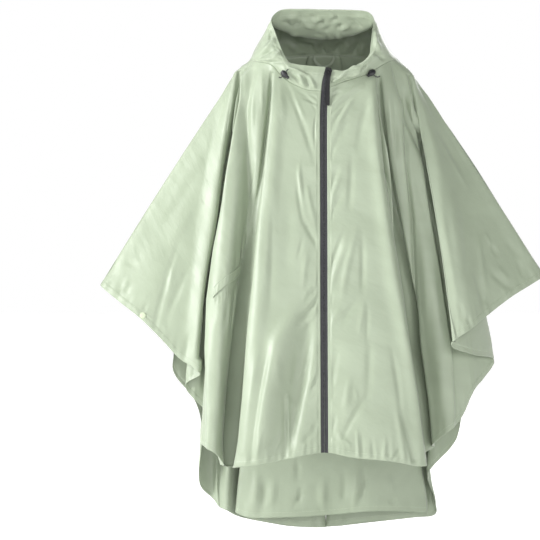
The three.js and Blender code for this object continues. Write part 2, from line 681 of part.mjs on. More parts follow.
function sliderGeometry() {
  const half = sliderTopWidth / 2;
  const foot = sliderFootWidth / 2;
  const outline = new THREE.Shape();
  outline.moveTo(-foot, -sliderLength / 2);
  outline.lineTo(foot, -sliderLength / 2);
  outline.lineTo(half, 0);
  outline.lineTo(half, sliderLength / 2 - sliderCorner);
  outline.quadraticCurveTo(half, sliderLength / 2, half - sliderCorner, sliderLength / 2);
  outline.lineTo(sliderCorner - half, sliderLength / 2);
  outline.quadraticCurveTo(-half, sliderLength / 2, -half, sliderLength / 2 - sliderCorner);
  outline.lineTo(-half, 0);
  outline.closePath();
  const eye = new THREE.Shape().absarc(0, 0, bridgeOuter, 0, 2 * Math.PI);
  eye.holes.push(new THREE.Path().absarc(0, 0, bridgeInner, 0, 2 * Math.PI, true));
  const bridge = extrudeBetween(eye, bridgeWidth, 14).rotateY(Math.PI / 2).translate(-bridgeWidth / 2, 0, 0);
  const plate = plateFrom(outline, sliderFront, sliderDepth);
  return geometryOfSolid(solidOf(plate).add(solidOf(bridge)));
}

function pullGeometry() {
  const half = pullWidth / 2;
  const window = half - pullArm;
  const outline = new THREE.Shape();
  outline.moveTo(-half, 0);
  outline.lineTo(-half, pullCorner - pullLength);
  outline.quadraticCurveTo(-half, -pullLength, pullCorner - half, -pullLength);
  outline.lineTo(half - pullCorner, -pullLength);
  outline.quadraticCurveTo(half, -pullLength, half, pullCorner - pullLength);
  outline.lineTo(half, 0);
  outline.lineTo(window, 0);
  outline.lineTo(window, -pullArmLength);
  outline.lineTo(-window, -pullArmLength);
  outline.lineTo(-window, 0);
  outline.closePath();
  const bar = new THREE.CylinderGeometry(pullBar, pullBar, pullWidth, 12).rotateZ(Math.PI / 2);
  const plate = plateFrom(outline, -pullThickness / 2, pullThickness);
  return geometryOfSolid(solidOf(plate).add(solidOf(bar)));
}

addTo(frameAtHinge(sliderLean, sliderTilt), 'zip_slider', sliderGeometry(), blackMetal);
addTo(frameAtHinge(pullLean, pullTilt), 'zip_pull', pullGeometry(), blackMetal);

// Pocket welt: a stitched band across the strip beside the front panel, made from the panel's points.
// Its ends by turn round the neck, and the rows of cloth at its upper and lower edge there.
const weltThickness = 1.2;
const weltLift = 0.9;
const weltRows = 2;
const weltOuterEnd = { turn: 60.9, top: 8.38, bottom: 8.63 };
const weltInnerEnd = { turn: 48.9, top: 7.36, bottom: 7.6 };

function pocketWelt() {
  const first = columnAtTurn(ring, weltInnerEnd.turn, RIGHT);
  const last = columnAtTurn(ring, weltOuterEnd.turn, RIGHT);
  const columns = [first];
  for (let column = Math.ceil(first); column < last; column += 1) columns.push(column);
  columns.push(last);
  const outer = [];
  const inner = [];
  for (let r = 0; r <= weltRows; r += 1) {
    const line = columns.map((column) => {
      const share = (column - first) / (last - first);
      const top = THREE.MathUtils.lerp(weltInnerEnd.top, weltOuterEnd.top, share);
      const bottom = THREE.MathUtils.lerp(weltInnerEnd.bottom, weltOuterEnd.bottom, share);
      return clothSpot(bodyGrid, bodyNormals, column, THREE.MathUtils.lerp(top, bottom, r / weltRows));
    });
    inner.push(line.map(({ point, out }) => point.clone().addScaledVector(out, weltLift)));
    outer.push(line.map(({ point, out }) => point.clone().addScaledVector(out, weltLift + weltThickness)));
  }
  return add('pocket_welt', closedWall(outer, inner), cloth);
}

pocketWelt();

// Hanger loop: a narrow tape that hangs inside the back of the neck.
const loopHalfWidth = 26;
const loopTop = 20;
const loopBottom = -7;
const loopDepth = 71.5;
const loopTapeWidth = 6;
const loopTapeThickness = 1.2;
const loopRoundness = 0.8;
const loopTopShare = 0.82;
const loopSteps = 14;

function hangerLoop() {
  const outer = [];
  const inner = [];
  for (let step = 0; step <= loopSteps; step += 1) {
    const turn = (Math.PI * step) / loopSteps;
    const x = -loopHalfWidth * Math.cos(turn);
    const sag = Math.sin(turn) ** loopRoundness;
    const z = loopTop - (loopTop - loopBottom) * sag;
    const low = new THREE.Vector3(x, loopDepth, z);
    const high = new THREE.Vector3(x * loopTopShare, loopDepth, z + loopTapeWidth);
    outer.push([high, low]);
    inner.push([high, low].map((point) => point.clone().add(new THREE.Vector3(0, loopTapeThickness, 0))));
  }
  return add('hanger_loop', closedWall(outer, inner), cloth);
}

hangerLoop();

// Snap on the wing's hem: a domed cap outside, its socket inside.
const snapSpot = { turn: 86.2, row: 13.2 };
const capRadius = 7.5;
const capHeight = 2.6;
const socketRadius = 6;
const socketHeight = 2.2;
const snapSides = 16;
const snapLift = 0.6;

function discGeometry(radius, height) {
  const profile = [
    [0, 0],
    [radius - 0.5, 0],
    [radius, 0.5],
    [radius, height * 0.45],
    [radius * 0.8, height * 0.85],
    [radius * 0.35, height],
    [0, height],
  ].map(([r, h]) => new THREE.Vector2(r, h));
  return new THREE.LatheGeometry(profile, snapSides);
}

const upward = new THREE.Vector3(0, 0, 1);
const snapPlace = clothSpot(bodyGrid, bodyNormals, columnAtTurn(ring, snapSpot.turn, RIGHT), snapSpot.row);
const capFrame = frameOnCloth(snapPlace, hemRaise + snapLift, upward);
addTo(capFrame, 'snap_cap', discGeometry(capRadius, capHeight).rotateX(Math.PI), greenPlastic);
const socketFrame = frameOnCloth(snapPlace, -wall - snapLift, upward);
addTo(socketFrame, 'snap_socket', discGeometry(socketRadius, socketHeight), greenPlastic);

// Cord locks at the ends of the hood's channel. Local Z runs along the barrel, the button at its top.
const lockLength = 17;
const lockRadius = 7.2;
const lockEndRadius = 4.6;
const lockFlatness = 0.66;
const buttonRadius = 3.9;
const buttonLength = 6;
const buttonSocket = 3.5;
const cordRadius = 1.2;
const cordHole = 1.6;
const lockLift = 5.6;
const lockSides = 16;
const lockPlaces = [
  { name: 'right', side: RIGHT, folds: hoodRing, grid: hoodGrid, normals: hoodNormals, turn: 30.6, row: 7.9 },
  { name: 'left', side: LEFT, folds: ring, grid: bodyGrid, normals: bodyNormals, turn: 38.4, row: 0.13 },
];
// Cord from each lock: reach to the cloth, bend into it, and length of the free end.
const cordShapes = {
  right: { reach: 2.6, bend: 4.6, tail: 7 },
  left: { reach: 0.6, bend: 0.2, tail: 12 },
};
const lockSlope = THREE.MathUtils.degToRad(40);
const cordBendSteps = 4;
const cordClear = 3.5;
const cordSteps = 20;

function lathe(profile, sides) {
  const points = profile.map(([r, z]) => new THREE.Vector2(r, z));
  return new THREE.LatheGeometry(points, sides).rotateX(Math.PI / 2);
}

function barrelGeometry() {
  const half = lockLength / 2;
  const body = lathe([
    [0, -half],
    [lockEndRadius, -half],
    [lockRadius * 0.9, -half + 3],
    [lockRadius, -0.5],
    [lockRadius * 0.92, half - 4],
    [lockEndRadius, half],
    [buttonRadius - 0.6, half],
    [buttonRadius - 0.6, half - buttonSocket],
    [0, half - buttonSocket],
  ], lockSides).scale(1, lockFlatness, 1);
  const hole = new THREE.CylinderGeometry(cordHole, cordHole, 3 * lockRadius, 12).rotateZ(Math.PI / 2);
  return geometryOfSolid(solidOf(body).subtract(solidOf(hole)));
}

function buttonGeometry() {
  const half = lockLength / 2;
  return lathe([
    [0, half - buttonSocket + seamGap],
    [buttonRadius - 1, half - buttonSocket + seamGap],
    [buttonRadius - 1, half + seamGap],
    [buttonRadius, half + seamGap],
    [buttonRadius, half + buttonLength - 1],
    [buttonRadius - 1, half + buttonLength],
    [0, half + buttonLength],
  ], lockSides).scale(1, lockFlatness, 1);
}

// Cord through the lock, in the lock's own frame: out of the cloth, over a bend, through the hole.
function cordPoints(toNeck, { reach, bend, tail }) {
  const entry = lockRadius + reach;
  const points = [];
  for (let step = 0; step <= cordBendSteps; step += 1) {
    const turn = ((Math.PI / 2) * step) / cordBendSteps;
    points.push([toNeck * (entry + bend * Math.cos(turn)), bend * (1 - Math.sin(turn)), 0]);
  }
  const exit = lockRadius + cordClear;
  points.push([toNeck * lockRadius * 0.5, 0, 0]);
  points.push([-toNeck * lockRadius * 0.5, 0, 0]);
  points.push([-toNeck * exit, 0, -0.5]);
  points.push([-toNeck * (exit + tail * 0.5), -0.6, -tail * 0.35]);
  points.push([-toNeck * (exit + tail * 0.6), -1, -tail * 0.9]);
  return points.map((point) => new THREE.Vector3(...point));
}

function cordGeometry(points) {
  const section = new THREE.Shape().absarc(0, 0, cordRadius, 0, 2 * Math.PI);
  const path = new THREE.CatmullRomCurve3(points, false, 'centripetal');
  return new THREE.ExtrudeGeometry(section, { steps: cordSteps, extrudePath: path, curveSegments: 4 });
}

lockPlaces.forEach((place) => {
  const column = columnAtTurn(place.folds, place.turn, place.side);
  const spot = clothSpot(place.grid, place.normals, column, place.row);
  const way = new THREE.Vector3(-place.side * Math.cos(lockSlope), 0, -Math.sin(lockSlope));
  const frame = frameOnCloth(spot, lockLift, way);
  addTo(frame, `cord_lock_${place.name}`, barrelGeometry(), blackPlastic);
  addTo(frame, `cord_lock_button_${place.name}`, buttonGeometry(), blackPlastic);
  const route = cordPoints(place.side, cordShapes[place.name]);
  addTo(frame, `hood_cord_${place.name}`, cordGeometry(route), blackNylon);
});

export default group;
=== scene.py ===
# %% [markdown]
# Rain poncho, dressed for looks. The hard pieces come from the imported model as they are. The cloth is
# laid again over the same fold lines, with many more points, so that it can carry soft creases and sewn
# puckers.

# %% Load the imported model
import json
import math
import bpy
import numpy as np
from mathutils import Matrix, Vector


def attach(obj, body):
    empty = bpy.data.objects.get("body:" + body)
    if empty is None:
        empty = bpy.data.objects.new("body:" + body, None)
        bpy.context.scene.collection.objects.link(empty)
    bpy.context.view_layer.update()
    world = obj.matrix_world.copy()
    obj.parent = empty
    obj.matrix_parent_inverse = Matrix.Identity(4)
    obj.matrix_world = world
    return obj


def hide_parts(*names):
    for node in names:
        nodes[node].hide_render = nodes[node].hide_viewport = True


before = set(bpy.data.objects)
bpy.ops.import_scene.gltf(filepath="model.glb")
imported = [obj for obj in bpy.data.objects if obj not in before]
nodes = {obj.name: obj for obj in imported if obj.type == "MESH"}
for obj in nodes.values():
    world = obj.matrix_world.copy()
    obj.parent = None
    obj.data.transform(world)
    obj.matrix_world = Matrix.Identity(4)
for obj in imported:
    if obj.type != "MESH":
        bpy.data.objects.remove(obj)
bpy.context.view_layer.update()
MM = 0.001
print("nodes:", len(nodes))

# %% [markdown]
# The camera comes first. The garment was photographed level, from about five metres, so that the folds
# keep their true widths. The shift puts the garment right of the middle, as it stands in the picture.

# %% Camera at the photograph's place
VIEW_DISTANCE = 5000
VIEW_LEVEL = -487
FRAME_WIDTH = 1263.6
SENSOR = 36
camera_data = bpy.data.cameras.new("camera")
camera_data.sensor_width = SENSOR
camera_data.lens = SENSOR * VIEW_DISTANCE / FRAME_WIDTH
camera_data.shift_x = -0.1
camera = bpy.data.objects.new("camera", camera_data)
camera.location = (0, -VIEW_DISTANCE * MM, VIEW_LEVEL * MM)
camera.rotation_euler = (math.radians(90), 0, 0)
bpy.context.scene.collection.objects.link(camera)
bpy.context.scene.camera = camera
print("lens:", round(camera_data.lens, 1), "mm")

# %% [markdown]
# Materials need colours as the eye sees them, and Blender works in linear light. One function turns the
# usual hex code into linear, and one adds a node with its settings and links.

# %% Colour and node helpers
def linear(code):
    parts = [int(code[i:i + 2], 16) / 255 for i in (1, 3, 5)]
    return (*[p / 12.92 if p <= 0.04045 else ((p + 0.055) / 1.055) ** 2.4 for p in parts], 1)


def add_node(tree, kind, settings=None, inputs=None):
    node = tree.nodes.new(kind)
    for key, value in (settings or {}).items():
        setattr(node, key, value)
    for key, value in (inputs or {}).items():
        if isinstance(value, bpy.types.NodeSocket):
            tree.links.new(value, node.inputs[key])
        else:
            node.inputs[key].default_value = value
    return node


def new_material(name, colour, roughness):
    material = bpy.data.materials.new(name)
    material.use_nodes = True
    shader = material.node_tree.nodes["Principled BSDF"]
    shader.inputs["Base Color"].default_value = linear(colour)
    shader.inputs["Roughness"].default_value = roughness
    material.diffuse_color = linear(colour)
    return material, material.node_tree, shader


print("helpers ready")

# %% [markdown]
# The cloth is a light polyester taffeta with a thin waterproof coat on its inside. A plain weave of fine
# filament yarn gives a soft satin gloss, and the coat makes it a little stiff, so it breaks into small
# flats.

# %% Coated taffeta
CLOTH_COLOUR = "#949F8A"
CLOTH_DEEP = "#8A9580"
WEAVE_PITCH = 0.0004
WAVE_AT_SCALE_ONE = 0.314


def waves(tree, vector, direction, pitch):
    """Fine even ridges at a real pitch in metres."""
    return add_node(tree, "ShaderNodeTexWave", {"bands_direction": direction},
                    {"Vector": vector, "Scale": WAVE_AT_SCALE_ONE / pitch, "Distortion": 0.6,
                     "Detail": 1.0}).outputs["Fac"]


def noise(tree, vector, scale, detail):
    return add_node(tree, "ShaderNodeTexNoise",
                    inputs={"Vector": vector, "Scale": scale, "Detail": detail}).outputs["Fac"]


def combine(tree, kind, operation, first, second):
    return add_node(tree, kind, {"operation": operation}, {0: first, 1: second}).outputs[0]


def bump(tree, height, strength, distance, under=None):
    inputs = {"Height": height, "Strength": strength, "Distance": distance}
    if under is not None:
        inputs["Normal"] = under
    return add_node(tree, "ShaderNodeBump", inputs=inputs).outputs[0]


def spread(tree, value, low, high):
    """Brings a 0 to 1 pattern to the range low to high."""
    return add_node(tree, "ShaderNodeMapRange", inputs={"Value": value, "From Min": 0.3, "From Max": 0.7,
                                                         "To Min": low, "To Max": high}).outputs[0]


def two_tones(tree, value, dark, light, low=0.3, high=0.65):
    ramp = add_node(tree, "ShaderNodeValToRGB", inputs={"Fac": value})
    for stop, colour, position in zip(ramp.color_ramp.elements, (dark, light), (low, high)):
        stop.color = linear(colour)
        stop.position = position
    return ramp.outputs[0]


def flat_place(tree):
    return add_node(tree, "ShaderNodeUVMap", {"uv_map": "flat"}).outputs[0]


def object_place(tree):
    return add_node(tree, "ShaderNodeTexCoord").outputs["Object"]


def connect(tree, shader, colour=None, normal=None, roughness=None):
    for key, pattern in (("Base Color", colour), ("Normal", normal), ("Roughness", roughness)):
        if pattern is not None:
            tree.links.new(pattern, shader.inputs[key])


taffeta, tree, shader = new_material("coated polyester taffeta, sage", CLOTH_COLOUR, 0.42)
uv = flat_place(tree)
warp = waves(tree, uv, "X", WEAVE_PITCH)
weft = waves(tree, uv, "Y", WEAVE_PITCH)
weave = combine(tree, "ShaderNodeMath", "MULTIPLY", warp, weft)
crumple = add_node(tree, "ShaderNodeTexVoronoi", {"feature": "SMOOTH_F1"},
                   {"Vector": uv, "Scale": 26.0, "Smoothness": 1.0, "Randomness": 1.0})
flats = bump(tree, crumple.outputs["Distance"], 0.2, 0.004)
soft = bump(tree, noise(tree, uv, 48.0, 4.0), 0.4, 0.0016, flats)
connect(tree, shader, two_tones(tree, noise(tree, uv, 7.0, 3.0), CLOTH_DEEP, CLOTH_COLOUR),
        bump(tree, weave, 0.25, 0.00006, soft), spread(tree, noise(tree, uv, 16.0, 2.0), 0.4, 0.52))
shader.inputs["Sheen Weight"].default_value = 0.25
shader.inputs["Sheen Roughness"].default_value = 0.4
print(taffeta.name)

# %% Zip, cord, plastic and enamel
# Woven tape: ribs across it, 0.6 mm apart, and a little lint.
nylon, tree, shader = new_material("woven nylon tape, black", "#232427", 0.5)
place = object_place(tree)
connect(tree, shader, two_tones(tree, noise(tree, place, 900.0, 3.0), "#1B1C1F", "#2F3034"),
        bump(tree, waves(tree, place, "Z", 0.0006), 0.5, 0.0001),
        spread(tree, noise(tree, place, 60.0, 3.0), 0.38, 0.6))

# Coil of drawn nylon wire, smoother than the tape.
coil_nylon, tree, shader = new_material("drawn nylon coil, black", "#2A2B2F", 0.3)
place = object_place(tree)
connect(tree, shader, normal=bump(tree, noise(tree, place, 2400.0, 2.0), 0.2, 0.00004),
        roughness=spread(tree, noise(tree, place, 300.0, 3.0), 0.22, 0.4))

# Round braid of the drawcord, strands 0.7 mm wide crossing both ways.
STRAND_PITCH = 0.0007
braid, tree, shader = new_material("braided polyester cord, black", "#1E1F22", 0.6)
uv = flat_place(tree)
flipped = combine(tree, "ShaderNodeVectorMath", "MULTIPLY", uv, (-1.0, 1.0, 1.0))
strands = combine(tree, "ShaderNodeMath", "MAXIMUM", waves(tree, uv, "DIAGONAL", STRAND_PITCH),
                  waves(tree, flipped, "DIAGONAL", STRAND_PITCH))
# The colour is darker in the grooves between the strands, a painted shade.
connect(tree, shader, two_tones(tree, strands, "#141517", "#2C2D31"), bump(tree, strands, 0.7, 0.00025))

# Enamel over zinc: fine orange peel, and worn lighter along the edges.
enamel, tree, shader = new_material("enamelled zinc, black", "#0F1011", 0.5)
shader.inputs["Specular IOR Level"].default_value = 0.3
place = object_place(tree)
edge = add_node(tree, "ShaderNodeNewGeometry").outputs["Pointiness"]
connect(tree, shader, two_tones(tree, edge, "#0D0E0F", "#2E2F32", 0.56, 0.8),
        bump(tree, noise(tree, place, 1500.0, 2.0), 0.3, 0.00006),
        spread(tree, noise(tree, place, 220.0, 3.0), 0.42, 0.58))


# Moulded acetal: a fine satin grain from the tool, with faint handling marks in the gloss.
def moulded(name, dark, light):
    material, tree, shader = new_material(name, light, 0.38)
    place = object_place(tree)
    connect(tree, shader, two_tones(tree, noise(tree, place, 120.0, 3.0), dark, light),
            bump(tree, noise(tree, place, 3200.0, 2.0), 0.25, 0.00005),
            spread(tree, noise(tree, place, 260.0, 3.0), 0.3, 0.46))
    return material


acetal = moulded("moulded acetal, black", "#141517", "#1B1C1F")
acetal_green = moulded("moulded acetal, sage", "#A9B598", "#B4BFA5")

# Twisted sewing thread, a shade lighter than the cloth.
thread, tree, shader = new_material("polyester sewing thread, sage", "#B9C4AC", 0.55)
twist = waves(tree, object_place(tree), "DIAGONAL", 0.0005)
# The colour is darker in the grooves of the twist, a painted shade.
connect(tree, shader, two_tones(tree, twist, "#A7B299", "#BDC8B0"), bump(tree, twist, 0.5, 0.0001))

# What each hard piece of the model is made of.
NODE_MATERIALS = {"zip_slider": enamel, "zip_pull": enamel,
                  "snap_cap": acetal_green, "snap_socket": acetal_green}
for side_name in ("right", "left"):
    NODE_MATERIALS["zip_tape_" + side_name] = nylon
    NODE_MATERIALS["cord_lock_" + side_name] = acetal
    NODE_MATERIALS["cord_lock_button_" + side_name] = acetal
for name, material in NODE_MATERIALS.items():
    for slot in nodes[name].material_slots:
        slot.material = material
print("finished nodes:", len(NODE_MATERIALS))

# %% [markdown]
# Every soft piece starts as a grid of points. One function turns a grid into a mesh, with its lengths on
# the cloth kept as UV in metres, so that weave and thread come out at their real size.

# %% Grids as meshes
SHELL = 0.8


def unit(way):
    return way / np.maximum(np.linalg.norm(way, axis=-1, keepdims=True), 1e-9)


def smooth(t):
    t = np.clip(t, 0, 1)
    return t * t * (3 - 2 * t)


def normals_of(grid):
    across = np.gradient(grid, axis=1)
    along = np.gradient(grid, axis=0)
    return unit(np.cross(across, along))


def lengths(grid, axis):
    steps = np.linalg.norm(np.diff(grid, axis=axis), axis=-1)
    shape = list(grid.shape[:2])
    shape[axis] = 1
    return np.concatenate([np.zeros(shape), np.cumsum(steps, axis=axis)], axis=axis)


def piece_from(name, grid, material, wall=SHELL):
    rows, columns = grid.shape[:2]
    index = np.arange(rows * columns).reshape(rows, columns)
    corners = [index[:-1, :-1], index[:-1, 1:], index[1:, 1:], index[1:, :-1]]
    faces = np.stack(corners, axis=-1).reshape(-1, 4)
    mesh = bpy.data.meshes.new(name)
    mesh.from_pydata((grid.reshape(-1, 3) * MM).tolist(), [], faces.tolist())
    uv_layer = mesh.uv_layers.new(name="flat")
    u = lengths(grid, 1) * MM
    v = lengths(grid, 0) * MM
    flat = np.stack([u.reshape(-1), v.reshape(-1)], axis=-1)
    uv_layer.data.foreach_set("uv", flat[faces.reshape(-1)].astype(np.float32).reshape(-1))
    mesh.polygons.foreach_set("use_smooth", [True] * len(mesh.polygons))
    mesh.materials.append(material)
    piece = bpy.data.objects.new(name, mesh)
    bpy.context.scene.collection.objects.link(piece)
    if wall:
        layer = piece.modifiers.new("wall", "SOLIDIFY")
        layer.thickness = wall * MM
        layer.offset = -1
    print(name, len(faces), "quads")
    return piece


def tube_grid(path, radii, sides):
    """Rings round a path, each of its own radius."""
    ways = unit(np.gradient(path, axis=0))
    across = unit(np.cross(ways, np.array([0.0, 1.0, 0.02])))
    over = np.cross(across, ways)
    turns = np.linspace(0, 2 * np.pi, sides + 1)[None, :, None]
    rings = np.cos(turns) * across[:, None] + np.sin(turns) * over[:, None]
    return path[:, None] + radii[:, None, None] * rings


print("a grid becomes a mesh, a path becomes a tube")

# %% [markdown]
# The drawcord comes out of the hood's channel, runs through the lock and ends free. Its points are those
# of the imported model. The tube narrows to a point at each end.

# %% Hood cords
CORD_RADIUS = 1.2
cord_routes = {
    "right": """
        -81.2 -108.1 -27.4  -82 -109.2 -28  -83.1 -109.9 -28.8  -84.1 -110.2 -29.8  -85.2 -110 -30.8
        -86.1 -109.4 -31.8  -86.9 -108.6 -32.8  -87.7 -107.8 -33.8  -88.5 -107 -34.7  -89.3 -106.2 -35.7
        -90.1 -105.4 -36.7  -90.9 -104.6 -37.7  -91.7 -103.8 -38.6  -92.6 -103 -39.6  -93.4 -102.2 -40.5
        -94.2 -101.4 -41.5  -95 -100.6 -42.4  -95.9 -99.8 -43.4  -96.8 -99 -44.2  -97.9 -98.2 -44.9
        -99.2 -97.6 -45.4  -100.5 -97 -45.7  -101.9 -96.6 -45.3  -103 -96.4 -44.4  -104.2 -96.2 -43.5
    """,
    "left": """
        104.9 -87.5 -27.5  105.8 -87.8 -28.4  106.7 -88 -29.4  107.5 -88.2 -30.4  108.4 -88.3 -31.5
        109.3 -88.5 -32.5  110.1 -88.7 -33.6  111 -88.9 -34.6  111.9 -89 -35.7  112.8 -89.2 -36.7
        113.6 -89.4 -37.7  114.5 -89.5 -38.8  115.4 -89.7 -39.8  116.4 -89.8 -40.7  117.5 -89.8 -41.5
        118.7 -89.9 -42.2  119.9 -89.9 -42.8  121.2 -89.9 -43.2  122.6 -89.9 -43.6  123.9 -89.7 -43.6
        125.2 -89.4 -43.4  126.4 -89 -42.8  127.5 -88.6 -42.1  128.6 -88.1 -41.4  129.7 -87.7 -40.8
    """,
}
for side_name, route in cord_routes.items():
    route = np.array(route.split(), float).reshape(-1, 3)
    radii = np.full(len(route), CORD_RADIUS)
    radii[[0, -1]] = 0.05
    cord = piece_from("hood_drawcord_" + side_name, tube_grid(route, radii, 12)[:, ::-1], braid, wall=0)
    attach(cord, "poncho")
    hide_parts("hood_cord_" + side_name)

# %% [markdown]
# A garment is drafted from measures. Here a short table gives each fold line: its place on the neck seam,
# where it ends at the hem as seen from the front, how plumb it hangs and how far it sinks in under the
# shoulder.

# %% Tables of the fold lines
def table(columns, rows):
    return [dict(zip(columns, row)) for row in rows]


def numbers(columns, text):
    """Rows of numbers as dictionaries. A semicolon parts two rows."""
    return table(columns, [[json.loads(word) for word in row.split()] for row in text.split(";")])


RIGHT, LEFT = -1, 1
NECK_HALF_WIDTH = 174
NECK_FRONT = 105
NECK_BACK = 85
PLEAT_SPREAD = 1.5
ZIP_HALF_OPENING = 8.3
ZIP_TAPE_UNDER = 6
neck_heights = numbers(["turn", "right", "left"], """
    0 -77 -72; 12 -74 -58; 22 -63 -48; 34 -40 -38; 44 -14 -22; 60 -5 -4; 90 4 5; 135 14 16; 180 25 25
""")
shoulder_ring = numbers(["turn", "out", "y", "z"], """
    0 0 -117 -150; 20 62 -115 -142; 42 126 -100 -119; 56 171 -78 -90; 68 202 -48 -62; 78 207 -25 -42;
    90 208 0 -30; 110 202 45 -34; 135 160 88 -46; 160 80 112 -56; 180 0 118 -60
""")
zip_line = numbers(["height", "x"], """
    -913 1.5; -600 0; -340 -0.5; -135 -1; -85 1; -58 3.5; -35 9; -20 13
""")
FOLD_COLUMNS = ["fold", "turn", "x", "depth", "z", "hang", "sink", "steps"]
front_right_folds = table(FOLD_COLUMNS, [
    ["zip edge", 2.7, -8.6, -190, -915, 0.3, 0, 1],
    ["zip stitching", 4.7, -14.9, -190.6, -915.5, 0.3, 0, 2],
    ["panel", 13, -86.6, -201, -930, 0.3, 0, 2],
    ["panel", 25, -158, -202, -945, 0.3, -2, 2],
    ["panel ridge", 35, -197, -190, -949, 0.35, -8, 2],
    ["panel edge", 41.5, -218.6, -156, -950, 0.1, -6, 2],
    ["valley behind panel", 45.5, -206, -104, -948, 0.25, 20, 2],
    ["strip inner edge", 50, -228, -134, -944, 0.4, 10, 2],
    ["strip", 56, -260, -142, -911, 0.5, 0, 2],
    ["strip outer edge", 63, -284.5, -120, -896, 0.45, -2, 2],
    ["strip contour", 67, -288, -98, -885, 0.45, -2, 2],
    ["strip back", 70, -268, -64, -862, 0.5, 6, 1],
    ["valley under wing", 73, -240, -42, -846, 0.5, 16, 2],
    ["flute back", 75.5, -290, -44, -803, 0.5, 10, 1],
    ["flute fold", 78, -325, -56, -758, 0.5, 5, 2],
    ["wing fold", 80.5, -295, -84, -729, 0.1, -2, 2],
    ["wing", 82.5, -342, -76, -691, 0.3, -2, 1],
    ["wing", 84.5, -374, -72, -656, 0.2, -2, 2],
    ["wing ridge", 86.3, -430, -62, -600, 0.1, 0, 2],
    ["wing", 88.2, -483, -42, -558, 0.05, 0, 2],
])
overarm_right = table(FOLD_COLUMNS, [["overarm", 90, -523, -16, -522, 0.05, 0, 2]])
back_right_folds = table(FOLD_COLUMNS, [
    ["back wing", 93, -478, 10, -540, 0.1, 0, 2],
    ["back wing", 97, -422, 26, -580, 0.2, 0, 2],
    ["back wing", 101, -352, 40, -658, 0.3, 0, 1],
    ["back wing fold", 105, -352, 48, -725, 0.5, 0, 2],
    ["side", 110, -302, 66, -792, 0.7, 4, 1],
    ["side", 116, -284, 88, -860, 0.9, 6, 1],
    ["flute", 122, -290, 122, -987, 0.9, -4, 2],
    ["flute", 128, -262, 152, -1020, 0.8, -6, 1],
    ["flute", 134, -240, 150, -1040, 0.8, 0, 1],
    ["valley", 139, -226, 128, -1050, 0.7, 14, 2],
    ["back", 145, -208, 156, -1060, 0.6, 4, 1],
    ["back", 150, -184, 184, -1068, 0.5, -4, 2],
    ["back valley", 157, -132, 176, -1078, 0.5, 5, 2],
    ["back", 164, -84, 204, -1086, 0.5, -2, 2],
    ["back", 172, -38, 190, -1089, 0.5, 2, 2],
    ["pleat edge", 179.7, 4.1, 168, -1089, 0.5, 0, 1],
])
front_left_folds = table(FOLD_COLUMNS, [
    ["zip edge", 2.7, 8.6, -190, -915, 0.3, 0, 1],
    ["zip stitching", 4.7, 14.9, -190.6, -915.5, 0.3, 0, 2],
    ["panel", 13, 65, -201, -926, 0.3, 0, 2],
    ["panel", 25, 168, -198, -937, 0.3, -2, 2],
    ["panel ridge", 37, 222, -182, -947, 0.3, -8, 2],
    ["panel edge", 44, 252, -152, -941, 0.35, -2, 2],
    ["valley behind panel", 47.5, 230, -94, -926, 0.5, 20, 2],
    ["strip inner edge", 51, 250, -100, -899, 0.6, 10, 2],
    ["strip", 54.5, 292, -110, -864, 0.6, 8, 2],
    ["strip", 57.5, 320, -94, -834, 0.6, 10, 1],
    ["strip", 60, 351, -72, -768, 0.6, 14, 2],
    ["strip outer edge", 62.5, 372, -44, -742, 0.6, 22, 1],
    ["outer fold", 65, 399, -20, -700, 0.6, 20, 1],
    ["turned layer", 67.5, 348, -110, -684, 0.6, 12, 2],
    ["wing fold", 70, 298, -152, -663, 0.5, 4, 2],
    ["wing", 75, 345, -138, -624, 0.3, -4, 2],
    ["wing", 80, 390, -98, -587, 0.2, -4, 2],
    ["wing", 85, 440, -66, -549, 0.1, 0, 2],
    ["wing", 88, 480, -40, -524, 0.05, 0, 2],
])
overarm_left = table(FOLD_COLUMNS, [["overarm", 90, 515, -16, -501, 0.05, 0, 2]])
back_left_folds = table(FOLD_COLUMNS, [
    ["back wing", 93, 474, 10, -516, 0.1, 0, 2],
    ["back wing", 97, 424, 28, -550, 0.2, 0, 2],
    ["back wing", 102, 368, 44, -606, 0.3, 0, 1],
    ["back wing fold", 107, 346, 58, -690, 0.5, 0, 2],
    ["side", 113, 326, 78, -790, 0.7, 4, 1],
    ["side", 119, 311, 98, -878, 0.9, 6, 1],
    ["side fold", 125, 292, 110, -908, 0.9, 0, 1],
    ["side fold", 130, 261, 118, -942, 0.8, 0, 1],
    ["valley", 135, 256, 128, -974, 0.7, 12, 2],
    ["back", 141, 264, 158, -1034, 0.6, 2, 1],
    ["back", 148, 258, 182, -1060, 0.5, -4, 2],
    ["back valley", 154, 212, 176, -1066, 0.5, 5, 2],
    ["back", 160, 160, 204, -1072, 0.5, -2, 2],
    ["back valley", 166, 104, 190, -1078, 0.5, 4, 2],
    ["back", 172, 52, 200, -1084, 0.5, 0, 2],
    ["pleat edge", 179.7, 4.5, 168, -1088, 0.5, 0, 1],
])
PLEAT_COLUMNS = [*FOLD_COLUMNS, "inset"]
pleat_right = table(PLEAT_COLUMNS, [
    ["return", 177.5, -20, 152, -1089, 0.5, 0, 2, 5],
    ["return", 173, -90, 149, -1083, 0.5, 0, 2, 5],
    ["return", 169, -165, 146, -1070, 0.5, 0, 1, 5],
    ["underlay seam", 167.5, -208, 135, -1054, 0.4, 0, 1, 7],
    ["underlay", 169.5, -183, 122, -1065, 0.4, 0, 2, 10],
    ["underlay", 174, -80, 112, -1066, 0.4, 0, 2, 10],
])
